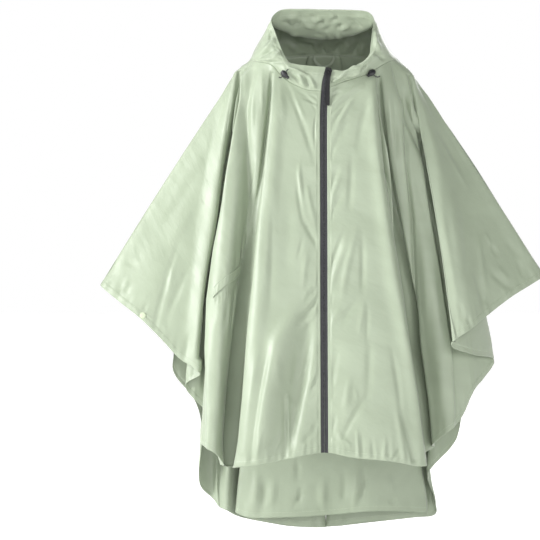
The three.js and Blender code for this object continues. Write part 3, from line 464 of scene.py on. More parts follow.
pleat_left = table(PLEAT_COLUMNS, [
    ["return", 177.5, 28, 152, -1085, 0.5, 0, 2, 5],
    ["return", 173, 112, 149, -1075, 0.5, 0, 2, 5],
    ["return", 169, 204, 150, -1066, 0.5, 0, 1, 5],
    ["underlay seam", 167.5, 243, 140, -1056, 0.4, 0, 1, 7],
    ["underlay", 169.5, 216, 124, -1054, 0.4, 0, 1, 10],
    ["underlay", 174, 112, 106, -1052, 0.4, 0, 2, 10],
    ["underlay", 179.5, 20, 116, -1060, 0.4, 0, 2, 10],
])


def on_side(side, rows):
    return [{"inset": 0, **row, "side": side} for row in rows]


ring = [
    *on_side(RIGHT, front_right_folds + overarm_right + back_right_folds + pleat_right),
    *on_side(LEFT, front_left_folds + overarm_left + back_left_folds + pleat_left)[::-1],
]
print("fold lines:", len(ring))

# %% [markdown]
# Each fold line is two smooth arcs: from the neck seam over the shoulder, and from there down to the hem.
# A curve through the lines at one height gives one row of the cloth.

# %% Fold lines as curves
def hermite(start, start_way, end, end_way, t):
    return ((2 * t ** 3 - 3 * t ** 2 + 1) * start + (t ** 3 - 2 * t ** 2 + t) * start_way
            + (3 * t ** 2 - 2 * t ** 3) * end + (t ** 3 - t ** 2) * end_way)


def smooth_value(rows, key, column, at):
    keys = np.array([row[key] for row in rows], float)
    values = np.array([row[column] for row in rows], float)
    last = len(rows) - 1
    at = np.asarray(at, float)
    low = np.clip(np.searchsorted(keys, at, side="left") - 1, 0, last - 1)
    slopes = np.array([
        (values[min(i + 1, last)] - values[max(i - 1, 0)]) / (keys[min(i + 1, last)] - keys[max(i - 1, 0)])
        for i in range(last + 1)
    ])
    span = keys[low + 1] - keys[low]
    t = np.clip((at - keys[low]) / span, 0, 1)
    return hermite(values[low], span * slopes[low], values[low + 1], span * slopes[low + 1], t)


def seen_point(x, depth, z):
    scale = (VIEW_DISTANCE + depth) / VIEW_DISTANCE
    return np.array([x * scale, depth, VIEW_LEVEL + (z - VIEW_LEVEL) * scale])


def as_seen(points):
    scale = (VIEW_DISTANCE + points[..., 1]) / VIEW_DISTANCE
    return points[..., 0] / scale, VIEW_LEVEL + (points[..., 2] - VIEW_LEVEL) / scale


def neck_point(turn, side, inset=0):
    angle = math.radians(turn)
    reach = NECK_FRONT if turn < 90 else NECK_BACK
    height = float(smooth_value(neck_heights, "turn", "right" if side == RIGHT else "left", turn))
    return np.array([side * NECK_HALF_WIDTH * math.sin(angle), -reach * math.cos(angle) - inset, height])


def shoulder_point(fold):
    turn, angle = fold["turn"], math.radians(fold["turn"])
    out = smooth_value(shoulder_ring, "turn", "out", turn) - fold["sink"] * math.sin(angle)
    y = smooth_value(shoulder_ring, "turn", "y", turn) + fold["sink"] * math.cos(angle)
    z = smooth_value(shoulder_ring, "turn", "z", turn)
    return np.array([fold["side"] * out, y - PLEAT_SPREAD * fold["inset"], z], float)


OVER_SHOULDER = 0.1
DOWN = np.array([0.0, 0.0, -1.0])
ZIP_WIDTHS = {"zip edge": ZIP_HALF_OPENING, "zip stitching": ZIP_HALF_OPENING + ZIP_TAPE_UNDER}


def fold_points(fold, along):
    neck = neck_point(fold["turn"], fold["side"], fold["inset"])
    shoulder = shoulder_point(fold)
    hem = seen_point(fold["x"], fold["depth"], fold["z"])
    upper, lower = shoulder - neck, hem - shoulder
    upper_length, lower_length = np.linalg.norm(upper), np.linalg.norm(lower)
    lower_way = unit(lower)
    shoulder_way = unit(lower_way + OVER_SHOULDER * (unit(upper) - lower_way))
    hem_way = unit(lower_way + fold["hang"] * (DOWN - lower_way))
    high = hermite(neck, upper, shoulder, shoulder_way * upper_length, np.minimum(along, 1)[:, None])
    low = hermite(shoulder, shoulder_way * lower_length, hem, hem_way * lower_length,
                  np.maximum(along - 1, 0)[:, None])
    points = np.where((along < 1)[:, None], high, low)
    if fold["fold"] in ZIP_WIDTHS:
        middle = smooth_value(zip_line, "height", "x", points[:, 2])
        points[:, 0] = middle + fold["side"] * ZIP_WIDTHS[fold["fold"]]
    return points


def through(points, places):
    """Centripetal curve through points (rows, folds, 3), at places counted in folds."""
    first = 2 * points[:, :1] - points[:, 1:2]
    last = 2 * points[:, -1:] - points[:, -2:-1]
    padded = np.concatenate([first, points, last], axis=1)
    low = np.clip(np.floor(places).astype(int), 0, points.shape[1] - 2)
    t = (places - low)[None, :, None]
    p0, p1, p2, p3 = (padded[:, low + k] for k in range(4))
    gaps = [np.maximum(np.linalg.norm(b - a, axis=-1, keepdims=True) ** 0.5, 1e-4)
            for a, b in ((p0, p1), (p1, p2), (p2, p3))]
    way1 = ((p1 - p0) / gaps[0] - (p2 - p0) / (gaps[0] + gaps[1]) + (p2 - p1) / gaps[1]) * gaps[1]
    way2 = ((p2 - p1) / gaps[1] - (p3 - p1) / (gaps[1] + gaps[2]) + (p3 - p2) / gaps[2]) * gaps[1]
    return hermite(p1, way1, p2, way2, t)


def places_of(folds, finer):
    places = []
    for index, fold in enumerate(folds[:-1]):
        count = fold["steps"] * finer
        places.extend(index + step / count for step in range(count))
    return np.array([*places, len(folds) - 1], float)


sample = fold_points(ring[2], np.linspace(0, 2, 50))
print("one fold line is", round(float(np.linalg.norm(np.diff(sample, axis=0), axis=1).sum())), "mm long")

# %% Fine grid of the body's cloth
HEM_DEPTH = 14
HEM_RAISE = 0.7
SAMPLE_HEIGHTS = np.array([0.5, 1.0, 1.4, 1.7, 2.0])
sample_controls = np.stack([fold_points(fold, SAMPLE_HEIGHTS) for fold in ring], axis=1)


def fold_place(name, side):
    return next(i for i, fold in enumerate(ring) if fold["fold"] == name and fold["side"] == side)


def even_places(first, last, columns):
    """Places between two folds, about evenly spaced on the cloth at several heights."""
    rough = np.linspace(first, last, 40 * (last - first) + 1)
    run = lengths(through(sample_controls, rough), 1)
    run = (run / run[:, -1:]).mean(axis=0)
    return np.interp(np.linspace(0, 1, columns), run, rough)


HEM_START = 1.95
BACK_DEPTH = 1.7


def body_grid(first, last, columns, rows_above, rows_below, rows_hem):
    along = np.concatenate([
        np.linspace(0, 1, rows_above, endpoint=False),
        np.linspace(1, HEM_START, rows_below, endpoint=False),
        np.linspace(HEM_START, 2, rows_hem),
    ])
    controls = np.stack([fold_points(fold, along) for fold in ring], axis=1)
    return through(controls, even_places(first, last, columns))


print("sampled folds:", sample_controls.shape)

# %% [markdown]
# A crease is a soft trough or ridge along a short bent line. Each row says where it runs as seen from the
# front, in millimetres, how far its middle bows out, how wide and deep it is and how strong it is at each
# end. A positive depth is a ridge. None is like another, as on real cloth that was folded small and hung
# up.

# %% Creases
CREASE_COLUMNS = ["x0", "z0", "x1", "z1", "bow", "width", "depth", "start", "end"]
front_creases = numbers(CREASE_COLUMNS, """
    -330 -398 -395 -618 -5 7 -3.2 0 0.8; -309 -468 -370 -608 -3 8 -2.6 0 0.6;
    -346 -426 -365 -557 -2 9 2.2 0 0; -262 -206 -407 -428 2 14 -2.4 0 0; -278 -300 -372 -440 2 12 2 0 0;
    -452 -519 -489 -557 3 7 -2.8 0.2 0.8; -482 -454 -515 -519 2 8 -2 0 0.6;
    -473 -468 -431 -482 3 6 -1.6 0 0; -459 -501 -473 -552 0 4 1.8 0 0.6; -374 -618 -384 -651 1 4 -2 0 1;
    -412 -557 -431 -594 1 4 -1.4 0 1; -314 -627 -330 -693 2 6 -2 0 1; -278 -557 -309 -702 1 8 2.2 0 0.6;
    -253 -557 -260 -627 4 6 -2.2 0.2 0; -229 -557 -239 -639 3 5 -2.6 0.6 0;
    -206 -534 -218 -662 2 5 -3 0.8 0; -187 -519 -197 -627 2 5 -2.4 0.8 0; -218 -548 -227 -651 2 4 2 0.6 0;
    -197 -524 -206 -639 1 4 2 0.6 0; -180 -358 -187 -454 2 4 -3 0 1; -168 -393 -176 -468 1 3 2 0 1;
    -201 -323 -208 -482 1 6 -2 0 0.8; -218 -159 -229 -393 2 7 2.4 0 0; -255 -651 -262 -861 1 8 -2.2 0 0;
    -239 -674 -243 -885 0 7 2 0 0.4; -190 -23 -197 -159 1 5 -2.4 0.8 0; -159 -37 -164 -206 0 7 -2 0.4 0;
    -145 -23 -145 -136 0 5 1.8 0.4 0; -87 -51 -21 -236 4 6 -3.4 0.4 0.2; -66 -61 -14 -117 5 5 -2.4 0.6 0.3;
    -77 -70 -44 -154 3 6 2.2 0.2 0; -14 -119 -19 -197 -5 4 -2.6 0.4 0.4; -47 -89 -14 -108 2 3 1.6 0 0.8;
    -40 -75 -12 -89 2 3 -1.8 0 0.8; -56 -80 -14 -98 -2 3 -1.5 0 0.8; -89 -28 -56 -70 2 4 -2 0.6 0;
    -105 -42 -94 -159 2 8 1.8 0.2 0; -58 -229 -49 -335 -3 5 3.4 0 0; -63 -271 -49 -374 -2 5 -3 0 0.4;
    -51 -365 -16 -426 -1 5 -4.2 0.4 0.6; -42 -276 -19 -384 -3 6 2.6 0 0.4; -80 -253 -89 -557 1 16 -2.6 0 0;
    -145 -253 -159 -557 1 10 3 0 0; -122 -276 -126 -627 1 8 -1.8 0 0; -35 -431 -49 -543 -4 7 2.2 0 0;
    -12 -517 -54 -552 -2 4 2.2 0.8 0; -12 -529 -49 -562 -2 4 -2.4 0.8 0; -12 -548 -75 -618 5 5 -3.8 0.8 0;
    -12 -538 -56 -585 4 4 2.6 0.8 0; -12 -576 -66 -627 4 4 2.2 0.8 0; -14 -590 -47 -627 3 3 -1.8 0.8 0;
    -49 -407 -66 -468 2 5 -1.8 0 0; -122 -639 -168 -927 -4 7 -4 0 0.8; -145 -639 -187 -913 -3 9 3.2 0 0.6;
    -84 -786 -82 -922 1 4 3.4 0.8 0.6; -94 -786 -91 -885 1 5 -3 0.4 0.2; -82 -789 -56 -819 -2 4 2.6 1 0;
    -61 -662 -77 -772 2 8 -2.4 0 0.2; -35 -627 -63 -772 3 7 3 0 0; -14 -730 -42 -786 3 4 -2.8 0.8 0;
    -14 -716 -42 -763 3 4 2 0.8 0; -12 -772 -56 -810 2 5 -2 0.6 0; -14 -847 -56 -894 3 5 -2.8 0.4 0;
    -56 -847 -19 -861 -3 6 2.2 0 0; -75 -856 -26 -856 -4 6 -2 0 0; -105 -847 -131 -903 3 5 -2.6 0 0.2;
    -96 -866 -117 -913 2 4 2 0 0; -145 -861 -157 -927 1 4 2 0 0.8; -66 -875 -75 -922 1 4 -2 0 0.8;
    -44 -885 -49 -920 0 4 1.8 0 0.8; -112 -674 -98 -791 -2 10 1.8 0 0; 89 -51 9 -108 -4 4 2.4 0.2 0.8;
    98 -61 12 -126 -4 4 -2.6 0.2 0.6; 49 -51 12 -70 -2 3 -2.4 0.2 1; 61 -42 14 -56 -2 3 2.2 0.4 1;
    37 -70 9 -89 -2 3 -2.2 0.2 1; 80 -70 16 -183 -5 6 2.8 0 0.2; 66 -84 14 -164 -4 5 -2.6 0 0.4;
    66 -136 14 -229 -5 5 -3.2 0 0.5; 51 -164 19 -220 -3 4 2.2 0 0.3; 112 -61 75 -229 -4 9 -2.4 0.2 0;
    66 -206 56 -370 2 8 -3 0 0; 40 -239 9 -318 -3 5 -2.6 0 0.5; 47 -253 14 -335 -3 5 2.4 0 0.3;
    54 -295 9 -384 -5 5 -2.4 0 0.5; 33 -332 9 -360 -2 3 1.8 0 0.8; 56 -384 5 -519 -5 5 -3.8 0 0.7;
    66 -402 14 -538 -5 6 3 0 0.3; 84 -365 37 -585 -5 8 3.2 0 0; 89 -388 89 -557 2 7 -3.2 0 0;
    89 -548 37 -618 -3 7 -3 0 0; 98 -552 80 -651 -2 6 2 0 0; 49 -571 14 -618 -3 6 2.8 0 0.4;
    23 -534 12 -585 -3 5 -2.2 0 0.6; 103 -571 98 -662 1 5 -2 0.1 0; 108 -627 103 -791 1 9 -2.8 0 0.3;
    103 -782 44 -880 -4 6 -4.2 0.3 0.7; 66 -725 49 -833 -3 8 3 0 0; 37 -655 14 -791 -3 8 -2.2 0 0.2;
    68 -768 80 -791 2 3 2 0 0; 28 -866 47 -899 3 5 2.6 0.2 0; 42 -880 66 -903 1 4 2.4 0.8 0;
    77 -856 80 -922 0 3 2.6 0 1; 89 -866 89 -922 0 4 -2 0 1; 154 -651 183 -838 3 7 -3 0 0;
    178 -814 208 -931 2 6 -3.2 0 1; 164 -791 187 -927 2 7 2.4 0 0.8; 180 -903 161 -931 -1 4 -2.6 0 1;
    143 -875 140 -922 1 4 1.8 0 1; 112 -885 117 -922 0 4 -1.8 0 1; 131 -89 140 -323 2 8 1.6 0 0;
    173 -468 187 -697 2 9 1.8 0 0; 14 -786 47 -753 3 5 -1.6 0.6 0; 28 -819 14 -875 2 5 -2 0 0.4;
    164 -66 168 -248 2 5 -3.2 0.2 0; 150 -66 157 -183 1 5 2.4 0.2 0; 178 -42 185 -276 1 5 2.2 0.2 0;
    225 -393 243 -651 2 9 2.6 0 0; 253 -463 281 -662 2 8 -2.2 0 0; 267 -674 276 -838 2 12 2.4 0 0;
    300 -697 309 -814 2 10 -2.2 0 0; 243 -131 360 -335 -3 6 1.8 0 0; 271 -206 300 -487 3 11 -2.8 0 0;
    323 -346 332 -534 2 9 -2.2 0 0; 360 -388 384 -557 -4 7 3.4 0 0; 384 -421 407 -459 2 5 -2.4 0 0;
    374 -398 393 -440 2 4 2 0 0; 384 -482 445 -538 -3 6 -2.8 0.2 0; 400 -473 440 -515 -2 5 2 0 0;
    351 -487 374 -594 4 7 -3 0 0.4; 449 -459 463 -501 2 5 -1.8 0 0.4; 309 -557 325 -618 3 6 -2.2 0 0.4;
    271 -323 323 -627 -2 8 2.4 0 0.2; 419 -412 463 -468 2 7 -1.6 0 0; 332 -594 342 -622 1 4 -2.4 0 1;
    372 -557 384 -590 1 4 2 0 1; 225 -112 342 -276 -2 9 -1.8 0 0; -247 -560 -168 -494 1 2.4 -4.5 0.7 0.9;
    -178 -459 -171 -436 0 2.5 2.6 0.8 0; -185 -463 -183 -433 1 2.5 -2.6 0.8 0;
    -194 -470 -192 -442 0 2.5 2.2 0.6 0; -203 -475 -206 -449 0 3 -2 0.6 0;
    -227 -487 -232 -466 0 3 1.8 0.6 0; -185 -505 -187 -530 0 2.5 2.4 0.8 0;
    -176 -500 -178 -524 0 2.5 -2.4 0.8 0; -197 -512 -201 -536 0 2.5 -2.2 0.8 0
""")
inner_creases = numbers(CREASE_COLUMNS, """
    -56 -936 -73 -973 2 6 -3 0 0; -154 -955 -168 -1048 2 8 3 0 0.4; -136 -978 -145 -1053 1 7 -2.6 0 0.4;
    -115 -973 -126 -1044 1 7 2.4 0 0; -47 -992 -68 -1039 2 6 -3.2 0 0.3; 0 -973 -5 -1044 0 9 2.6 0 0.3;
    49 -955 44 -1044 1 8 -2.6 0 0; 89 -945 70 -1034 -2 6 3.4 0.2 0.4; 101 -955 84 -1039 -2 6 -3 0 0.3;
    150 -973 157 -1011 2 7 2.4 0 0; 164 -1016 154 -1039 1 4 -2 0 0
""")
back_creases = numbers(CREASE_COLUMNS, """
    -40 -90 -96 -420 8 14 -4 0.2 0; -84 -120 -130 -560 10 16 4 0 0; 60 -100 96 -380 -8 13 -4 0.2 0;
    110 -140 150 -600 -8 15 4 0 0; -150 -60 -330 -420 12 16 -4 0.2 0; -190 -70 -400 -400 -10 14 3.5 0 0;
    170 -70 340 -380 -14 16 -4 0.2 0; 210 -80 410 -360 8 13 3.2 0 0; -60 -600 -84 -1020 5 12 -4 0 0.5;
    -110 -640 -150 -1010 6 12 4 0 0.4; 70 -560 92 -1000 -5 12 4 0 0.5; 130 -620 176 -1030 -6 11 -4 0 0.5;
    -200 -500 -236 -940 6 12 3.5 0 0.3; 220 -480 268 -900 -6 12 3.5 0 0.3; -20 -300 -28 -700 2 9 3 0 0;
    26 -260 34 -660 -2 9 -2.5 0 0; -300 -300 -420 -520 5 9 -2.6 0 0.6; 320 -280 430 -480 -5 9 -2.6 0 0.6;
    -360 -380 -350 -560 -3 8 2.4 0 0.5; 350 -330 362 -540 3 8 2.2 0 0.5; -18 -40 -60 -150 4 7 -2.4 0.8 0;
    22 -30 70 -140 -4 7 -2.4 0.8 0; -110 0 -140 -120 3 7 -2.2 0.8 0; 120 0 150 -110 -3 7 -2.2 0.8 0;
    -30 -860 -20 -1080 2 6 -2.6 0 1; 44 -840 40 -1080 -2 6 -2.6 0 1; -170 -860 -186 -1060 3 7 2.6 0 0.8;
    190 -880 214 -1050 -3 7 2.6 0 0.8; -254 -900 -244 -1040 2 15 -11 0.5 0.6;
    250 -900 250 -1030 2 14 -9 0.5 0.6
""")


CREASE_STEPS = 17
CREASE_REACH = 3
CREASE_FADE = 0.4


def crease_field(rows, x, z):
    """Height of all creases at points seen at x, z."""
    field = np.zeros(x.shape)
    for row in rows:
        a = np.array([row["x0"], row["z0"]], float)
        b = np.array([row["x1"], row["z1"]], float)
        run = b - a
        side_way = np.array([-run[1], run[0]]) / max(np.linalg.norm(run), 1e-6)
        middle = (a + b) / 2 + side_way * row["bow"] * 2
        t = np.linspace(0, 1, CREASE_STEPS)[:, None]
        line = (1 - t) ** 2 * a + 2 * t * (1 - t) * middle + t ** 2 * b
        reach = CREASE_REACH * row["width"]
        near = ((x > line[:, 0].min() - reach) & (x < line[:, 0].max() + reach)
                & (z > line[:, 1].min() - reach) & (z < line[:, 1].max() + reach))
        if not near.any():
            continue
        px, pz = x[near], z[near]
        best = np.full(px.shape, 1e9)
        where = np.zeros(px.shape)
        for k in range(len(line) - 1):
            s, d = line[k], line[k + 1] - line[k]
            share = np.clip(((px - s[0]) * d[0] + (pz - s[1]) * d[1]) / max(d @ d, 1e-9), 0, 1)
            away = np.hypot(px - s[0] - share * d[0], pz - s[1] - share * d[1])
            closer = away < best
            best = np.where(closer, away, best)
            where = np.where(closer, (k + share) / (len(line) - 1), where)
        fade = np.minimum(row["start"] + (1 - row["start"]) * smooth(where / CREASE_FADE),
                          row["end"] + (1 - row["end"]) * smooth((1 - where) / CREASE_FADE))
        field[near] += row["depth"] * fade * np.exp(-(best / row["width"]) ** 2)
    return field


# %% [markdown]
# Long sharp valleys run from the neck to the hem where the cloth folds behind itself. They are drawn as
# lines with one place at each height.

# %% Long valleys
VALLEY_COLUMNS = ["z", "x", "depth", "width"]
front_valleys = {
    "wing line": numbers(VALLEY_COLUMNS, """
        -19 -198 3 4; -89 -204 14 5; -159 -215 20 5; -229 -229 20 5; -323 -243 20 5; -417 -257 20 5;
        -510 -271 18 5; -604 -283 15 5; -697 -290 10 5
    """),
    "panel line": numbers(VALLEY_COLUMNS, """
        -23 -122 6 4; -112 -129 8 4; -229 -142 6 4; -370 -157 6 4; -491 -172 9 5; -604 -187 15 6;
        -697 -195 22 7; -791 -202 25 7; -885 -211 25 7; -945 -219 17 6
    """),
    "left panel line": numbers(VALLEY_COLUMNS, """
        -19 126 6 4; -112 133 8 4; -253 150 8 5; -417 180 12 6; -557 207 18 6; -674 217 23 6; -791 234 25 6;
        -885 243 25 6; -955 252 15 5
    """),
    "left strip line": numbers(VALLEY_COLUMNS, """
        -89 187 2 5; -253 197 7 4; -370 206 8 4; -510 211 7 4; -627 218 5 4
    """),
    "left wing line": numbers(VALLEY_COLUMNS, """
        -28 199 5 4; -89 211 12 4; -159 220 16 4; -206 225 18 4; -276 236 16 4; -393 255 16 4;
        -510 274 14 4; -655 297 12 4
    """),
}


SLOPE_COLUMNS = ["z", "left", "right", "rise_left", "rise_right", "fade_left", "fade_right"]
front_slopes = {
    "strip turned from the light": numbers(SLOPE_COLUMNS, """
        -10 -190 -165 2 -5 4 10; -112 -203 -187 6 -12 4 14; -206 -211 -183 12 -20 4 20;
        -323 -227 -168 14 -25 4 14; -440 -248 -168 14 -28 4 6; -557 -262 -178 14 -29 4 4;
        -674 -267 -190 14 -29 6 4; -791 -265 -201 13 -29 8 4; -885 -265 -212 12 -25 8 4;
        -950 -265 -218 6 -12 8 4
    """),
    "ridge beside the panel line": numbers(SLOPE_COLUMNS, """
        -90 -126 -112 2 3 3 14; -229 -134 -118 4 5 3 16; -417 -156 -134 4 5 3 18; -604 -178 -156 4 5 3 18;
        -850 -202 -176 4 5 3 18; -940 -214 -188 3 4 3 18
    """),
    "low shade right of the panel ridge": numbers(SLOPE_COLUMNS, """
        -560 -60 -20 0 0 20 12; -650 -108 -30 10 -13 20 12; -720 -124 -46 14 -17 20 12;
        -791 -138 -60 16 -19 20 12; -870 -150 -76 15 -17 20 12; -925 -158 -90 11 -10 18 12
    """),
    "shade left of the left panel line": numbers(SLOPE_COLUMNS, """
        -60 112 132 3 -4 14 4; -206 122 145 5 -9 14 4; -370 144 173 8 -14 16 4; -557 172 206 9 -18 16 4;
        -674 195 217 9 -18 14 4; -791 214 233 8 -17 14 4; -885 226 243 7 -15 14 4; -940 234 250 4 -9 14 4
    """),
    "lit side of the left strip": numbers(SLOPE_COLUMNS, """
        -90 186 208 0 5 6 3; -206 190 223 -2 10 8 3; -370 202 249 -3 14 10 3; -557 218 273 -3 16 10 3;
        -674 230 290 -3 15 10 4; -791 246 298 -3 10 10 6; -885 256 296 -2 6 10 8
    """),
    "left wing near its line": numbers(SLOPE_COLUMNS, """
        -90 216 240 -2 3 3 20; -276 242 280 -2 6 3 30; -417 262 302 -2 6 3 32; -557 286 326 -2 6 3 30;
        -655 300 340 -2 4 3 24
    """),
    "right wing edge stands forward": numbers(SLOPE_COLUMNS, """
        -40 -236 -205 0 4 20 3; -160 -262 -220 0 9 26 3; -323 -296 -247 0 11 30 3; -480 -316 -268 0 11 32 3;
        -620 -328 -284 0 10 30 4; -740 -322 -291 0 6 24 6
    """),
}


def line_at(rows, columns, z):
    """The heights of a line's rows from the lowest up, and each of its columns at the heights z."""
    rows = rows[::-1]
    heights = np.array([row["z"] for row in rows], float)
    return heights, [np.interp(z, heights, [row[key] for row in rows]) for key in columns[1:]]


SLOPE_PAST_END = 60
SLOPE_EASE = 90


def slope_field(lines, x, z):
    """Broad faces between two long lines: height goes from one line to the other and fades outside."""
    field = np.zeros(x.shape)
    for rows in lines.values():
        heights, values = line_at(rows, SLOPE_COLUMNS, z)
        left, right, rise_left, rise_right, fade_left, fade_right = values
        inside = smooth((x - left) / np.maximum(right - left, 1))
        outside = np.maximum(left - x, 0) / fade_left + np.maximum(x - right, 0) / fade_right
        ends = (smooth((heights[-1] + SLOPE_PAST_END - z) / SLOPE_EASE)
                * smooth((z - heights[0] + SLOPE_PAST_END) / SLOPE_EASE))
        field += (rise_left + (rise_right - rise_left) * inside) * np.exp(-outside ** 2) * ends
    return field


def valley_field(lines, x, z):
    field = np.zeros(x.shape)
    for rows in lines.values():
        heights, (middle, depth, width) = line_at(rows, VALLEY_COLUMNS, z)
        runs = (z >= heights[0]) & (z <= heights[-1])
        field -= runs * depth * np.exp(-((x - middle) / width) ** 2)
    return field


SNAP_SEEN = (-423.5, -593.5)
SNAP_REACH = 13


def snap_ring(x, z):
    """Small creases that run out from the snap, where its two halves pinch the hem."""
    away = np.hypot(x - SNAP_SEEN[0], z - SNAP_SEEN[1])
    turn = np.arctan2(z - SNAP_SEEN[1], x - SNAP_SEEN[0])
    ripple = np.cos(7 * turn + 0.8) + 0.6 * np.cos(11 * turn + 2.1)
    return 0.7 * ripple * np.exp(-((away - SNAP_REACH) / 5) ** 2)


# %% [markdown]
# Sewn hems are a doubled edge: the cloth turns in, and the stitch line pulls it into tiny puckers. The
# edge stands proud by the layer inside it.

# %% Puckers along a stitched line
def puckers(run, away, seed, spacing, height, reach):
    """Uneven small waves along a stitched line, fading as they leave it."""
    rng = np.random.default_rng(seed)
    ends = np.arange(-spacing, float(run.max()) + 2 * spacing, spacing)
    ends = ends + rng.uniform(-0.35, 0.35, len(ends)) * spacing
    sizes = rng.uniform(0.3, 1.0, len(ends)) ** 1.5
    reaches = rng.uniform(0.5, 1.4, len(ends)) * reach
    low = np.clip(np.searchsorted(ends, run) - 1, 0, len(ends) - 2)
    field = np.zeros(run.shape)
    for k in (0, 1):
        at = low + k
        gap = np.abs(run - ends[at]) / spacing
        field += sizes[at] * np.exp(-(gap * 2.6) ** 2) * np.exp(-(np.abs(away) / reaches[at]) ** 1.5)
    return height * field


print("pucker and crease helpers ready")

# %% Measure a cut of cloth
def area_of(grid):
    a = grid[1:, 1:] - grid[:-1, :-1]
    b = grid[1:, :-1] - grid[:-1, 1:]
    return float(np.linalg.norm(np.cross(a, b), axis=-1).sum() / 2 * MM * MM)


def declare_cut(piece, grid):
    area = area_of(grid)
    length = float(lengths(grid, 0)[-1].max() * MM)
    width = float(lengths(grid, 1)[:, -1].max() * MM)
    width = max(width, area / length)
    print(piece.name, "cut", round(width, 2), "by", round(length, 2), "m, area", round(area, 3))


# %% The five body panels
PANEL_COLUMNS = ["name", "node", "first", "last", "columns", "above", "below", "hem", "zip_side"]
panels = table(PANEL_COLUMNS, [
    ["front_right", "front_right_panel", fold_place("zip edge", RIGHT), fold_place("overarm", RIGHT),
     330, 34, 92, 16, 1],
    ["back_right", "back_right_panel", fold_place("overarm", RIGHT), fold_place("underlay seam", RIGHT),
     200, 16, 64, 14, 0],
    ["pleat_underlay", "back_pleat_underlay", fold_place("underlay seam", RIGHT),
     fold_place("underlay seam", LEFT), 90, 12, 60, 14, 0],
    ["back_left", "back_left_panel", fold_place("underlay seam", LEFT), fold_place("overarm", LEFT),
     200, 16, 64, 14, 0],
    ["front_left", "front_left_panel", fold_place("overarm", LEFT), fold_place("zip edge", LEFT),
     330, 34, 92, 16, -1],
])
grids = {}
for number, part in enumerate(panels):
    grid = body_grid(part["first"], part["last"], part["columns"],
                     part["above"], part["below"], part["hem"])
    outward = normals_of(grid)
    to_hem = lengths(grid[::-1], 0)[::-1]
    run = lengths(grid[-1:], 1).repeat(grid.shape[0], axis=0)
    x, z = as_seen(grid)
    raise_by = HEM_RAISE * np.clip((HEM_DEPTH - to_hem) / 1.5, 0, 1)
    raise_by = raise_by + puckers(run, to_hem - HEM_DEPTH, seed=number, spacing=15, height=2.2, reach=20)
    if part["zip_side"]:
        from_zip = lengths(grid, 1) if part["zip_side"] > 0 else lengths(grid[:, ::-1], 1)[:, ::-1]
        past = np.maximum(from_zip - ZIP_TAPE_UNDER, 0)
        beside_zip = puckers(-z, past, seed=20 + number, spacing=21, height=2.2, reach=26)
        raise_by = raise_by + smooth(past / 3) * beside_zip
        raise_by = raise_by + crease_field(front_creases, x, z) * smooth(past / 6)
        raise_by = raise_by + valley_field(front_valleys, x, z) + snap_ring(x, z)
        raise_by = raise_by + slope_field(front_slopes, x, z) * smooth(past / 30)
        raise_by = raise_by * smooth(lengths(grid, 0) / 25)
    elif part["name"] == "pleat_underlay":
        raise_by = raise_by - 2 * crease_field(inner_creases, x, z)
    else:
        raise_by = raise_by + BACK_DEPTH * crease_field(back_creases, x, z)
    grid = grid + outward * raise_by[..., None]
    grids[part["name"]] = grid
    cloth = piece_from(part["name"] + "_cloth", grid, taffeta)
    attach(cloth, "poncho")
    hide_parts(part["node"])
    declare_cut(cloth, grid)

# %% [markdown]
# The hood lies back on the shoulders. Its lines run from the neck seam over its side, top and dip to the
# face rim, where a stitched channel carries the cord.

# %% Hood
HOOD_LEVELS = ["low", "top", "dip", "rim"]
HOOD_COLUMNS = ["turn", "steps", *[level + way for level in HOOD_LEVELS for way in ("Out", "Y", "Z")]]
hood_right_stations = numbers(HOOD_COLUMNS, """
    2.7 1 8.3 -107 -60 8.3 -108 -48 8.3 -107 -36 8.3 -105 -22;
    4.7 2 14.3 -107.2 -60 14.3 -108.4 -47.5 14.3 -107.4 -35.5 14.3 -105.2 -21.5;
    15 2 46 -107 -58 43 -109 -44 41 -108 -31 37 -105 -19;
    30 2 88 -98 -42 84 -103 -31 77 -103 -22 66 -100 -15; 42 3 118 -83 -8 108 -91 -1 96 -94 -4 79 -94 -11;
    56 2 148 -60 7 132 -76 18 116 -84 20 91 -87 7; 70 2 163 -36 12 144 -56 34 129 -70 42 103 -79 36;
    85 2 165 -8 18 145 -30 52 131 -54 66 114 -70 66; 105 2 162 26 32 134 6 76 126 -40 84 121 -60 93;
    130 2 134 68 50 114 50 100 106 -12 76 102 -50 114; 155 2 76 96 57 62 80 102 58 16 62 52 -45 118;
    180 2 0 104 60 0 88 98 0 24 56 0 -43 117
""")
hood_left_stations = numbers(HOOD_COLUMNS, """
    2.7 1 8.3 -107 -60 8.3 -108 -50 8.3 -107 -40 8.3 -105 -28;
    4.7 1 14.3 -107.2 -59.5 14.3 -108.4 -49.5 14.3 -107.4 -39.8 14.3 -105.2 -28.2;
    15 2 46 -107 -50 44 -109 -42 43 -108 -36 42 -105 -31;
    30 2 86 -98 -34 83 -103 -28 78 -103 -22 71 -99 -19; 42 2 116 -83 -10 112 -90 -2 104 -94 -1 93 -92 -6;
    56 2 142 -60 9 130 -76 18 119 -83 18 104 -85 8; 70 2 154 -36 15 139 -56 34 127 -70 38 107 -79 30;
    85 2 152 -8 22 136 -30 52 126 -54 64 111 -70 64; 105 2 150 26 34 128 6 76 121 -40 84 115 -60 93;
    130 2 126 68 50 109 50 100 104 -12 76 102 -50 110; 155 2 76 96 57 62 80 102 60 16 62 54 -45 116
""")
hood_ring = [*on_side(RIGHT, hood_right_stations), *on_side(LEFT, hood_left_stations)[::-1]]
HOOD_ROWS = 72
HOOD_FINER = 6


def station_line(station, shares):
    side = station["side"]
    points = [neck_point(station["turn"], side)]
    for level in HOOD_LEVELS:
        points.append([side * station[level + "Out"], station[level + "Y"], station[level + "Z"]])
    return through(np.array([points], float), shares * 4)[0]


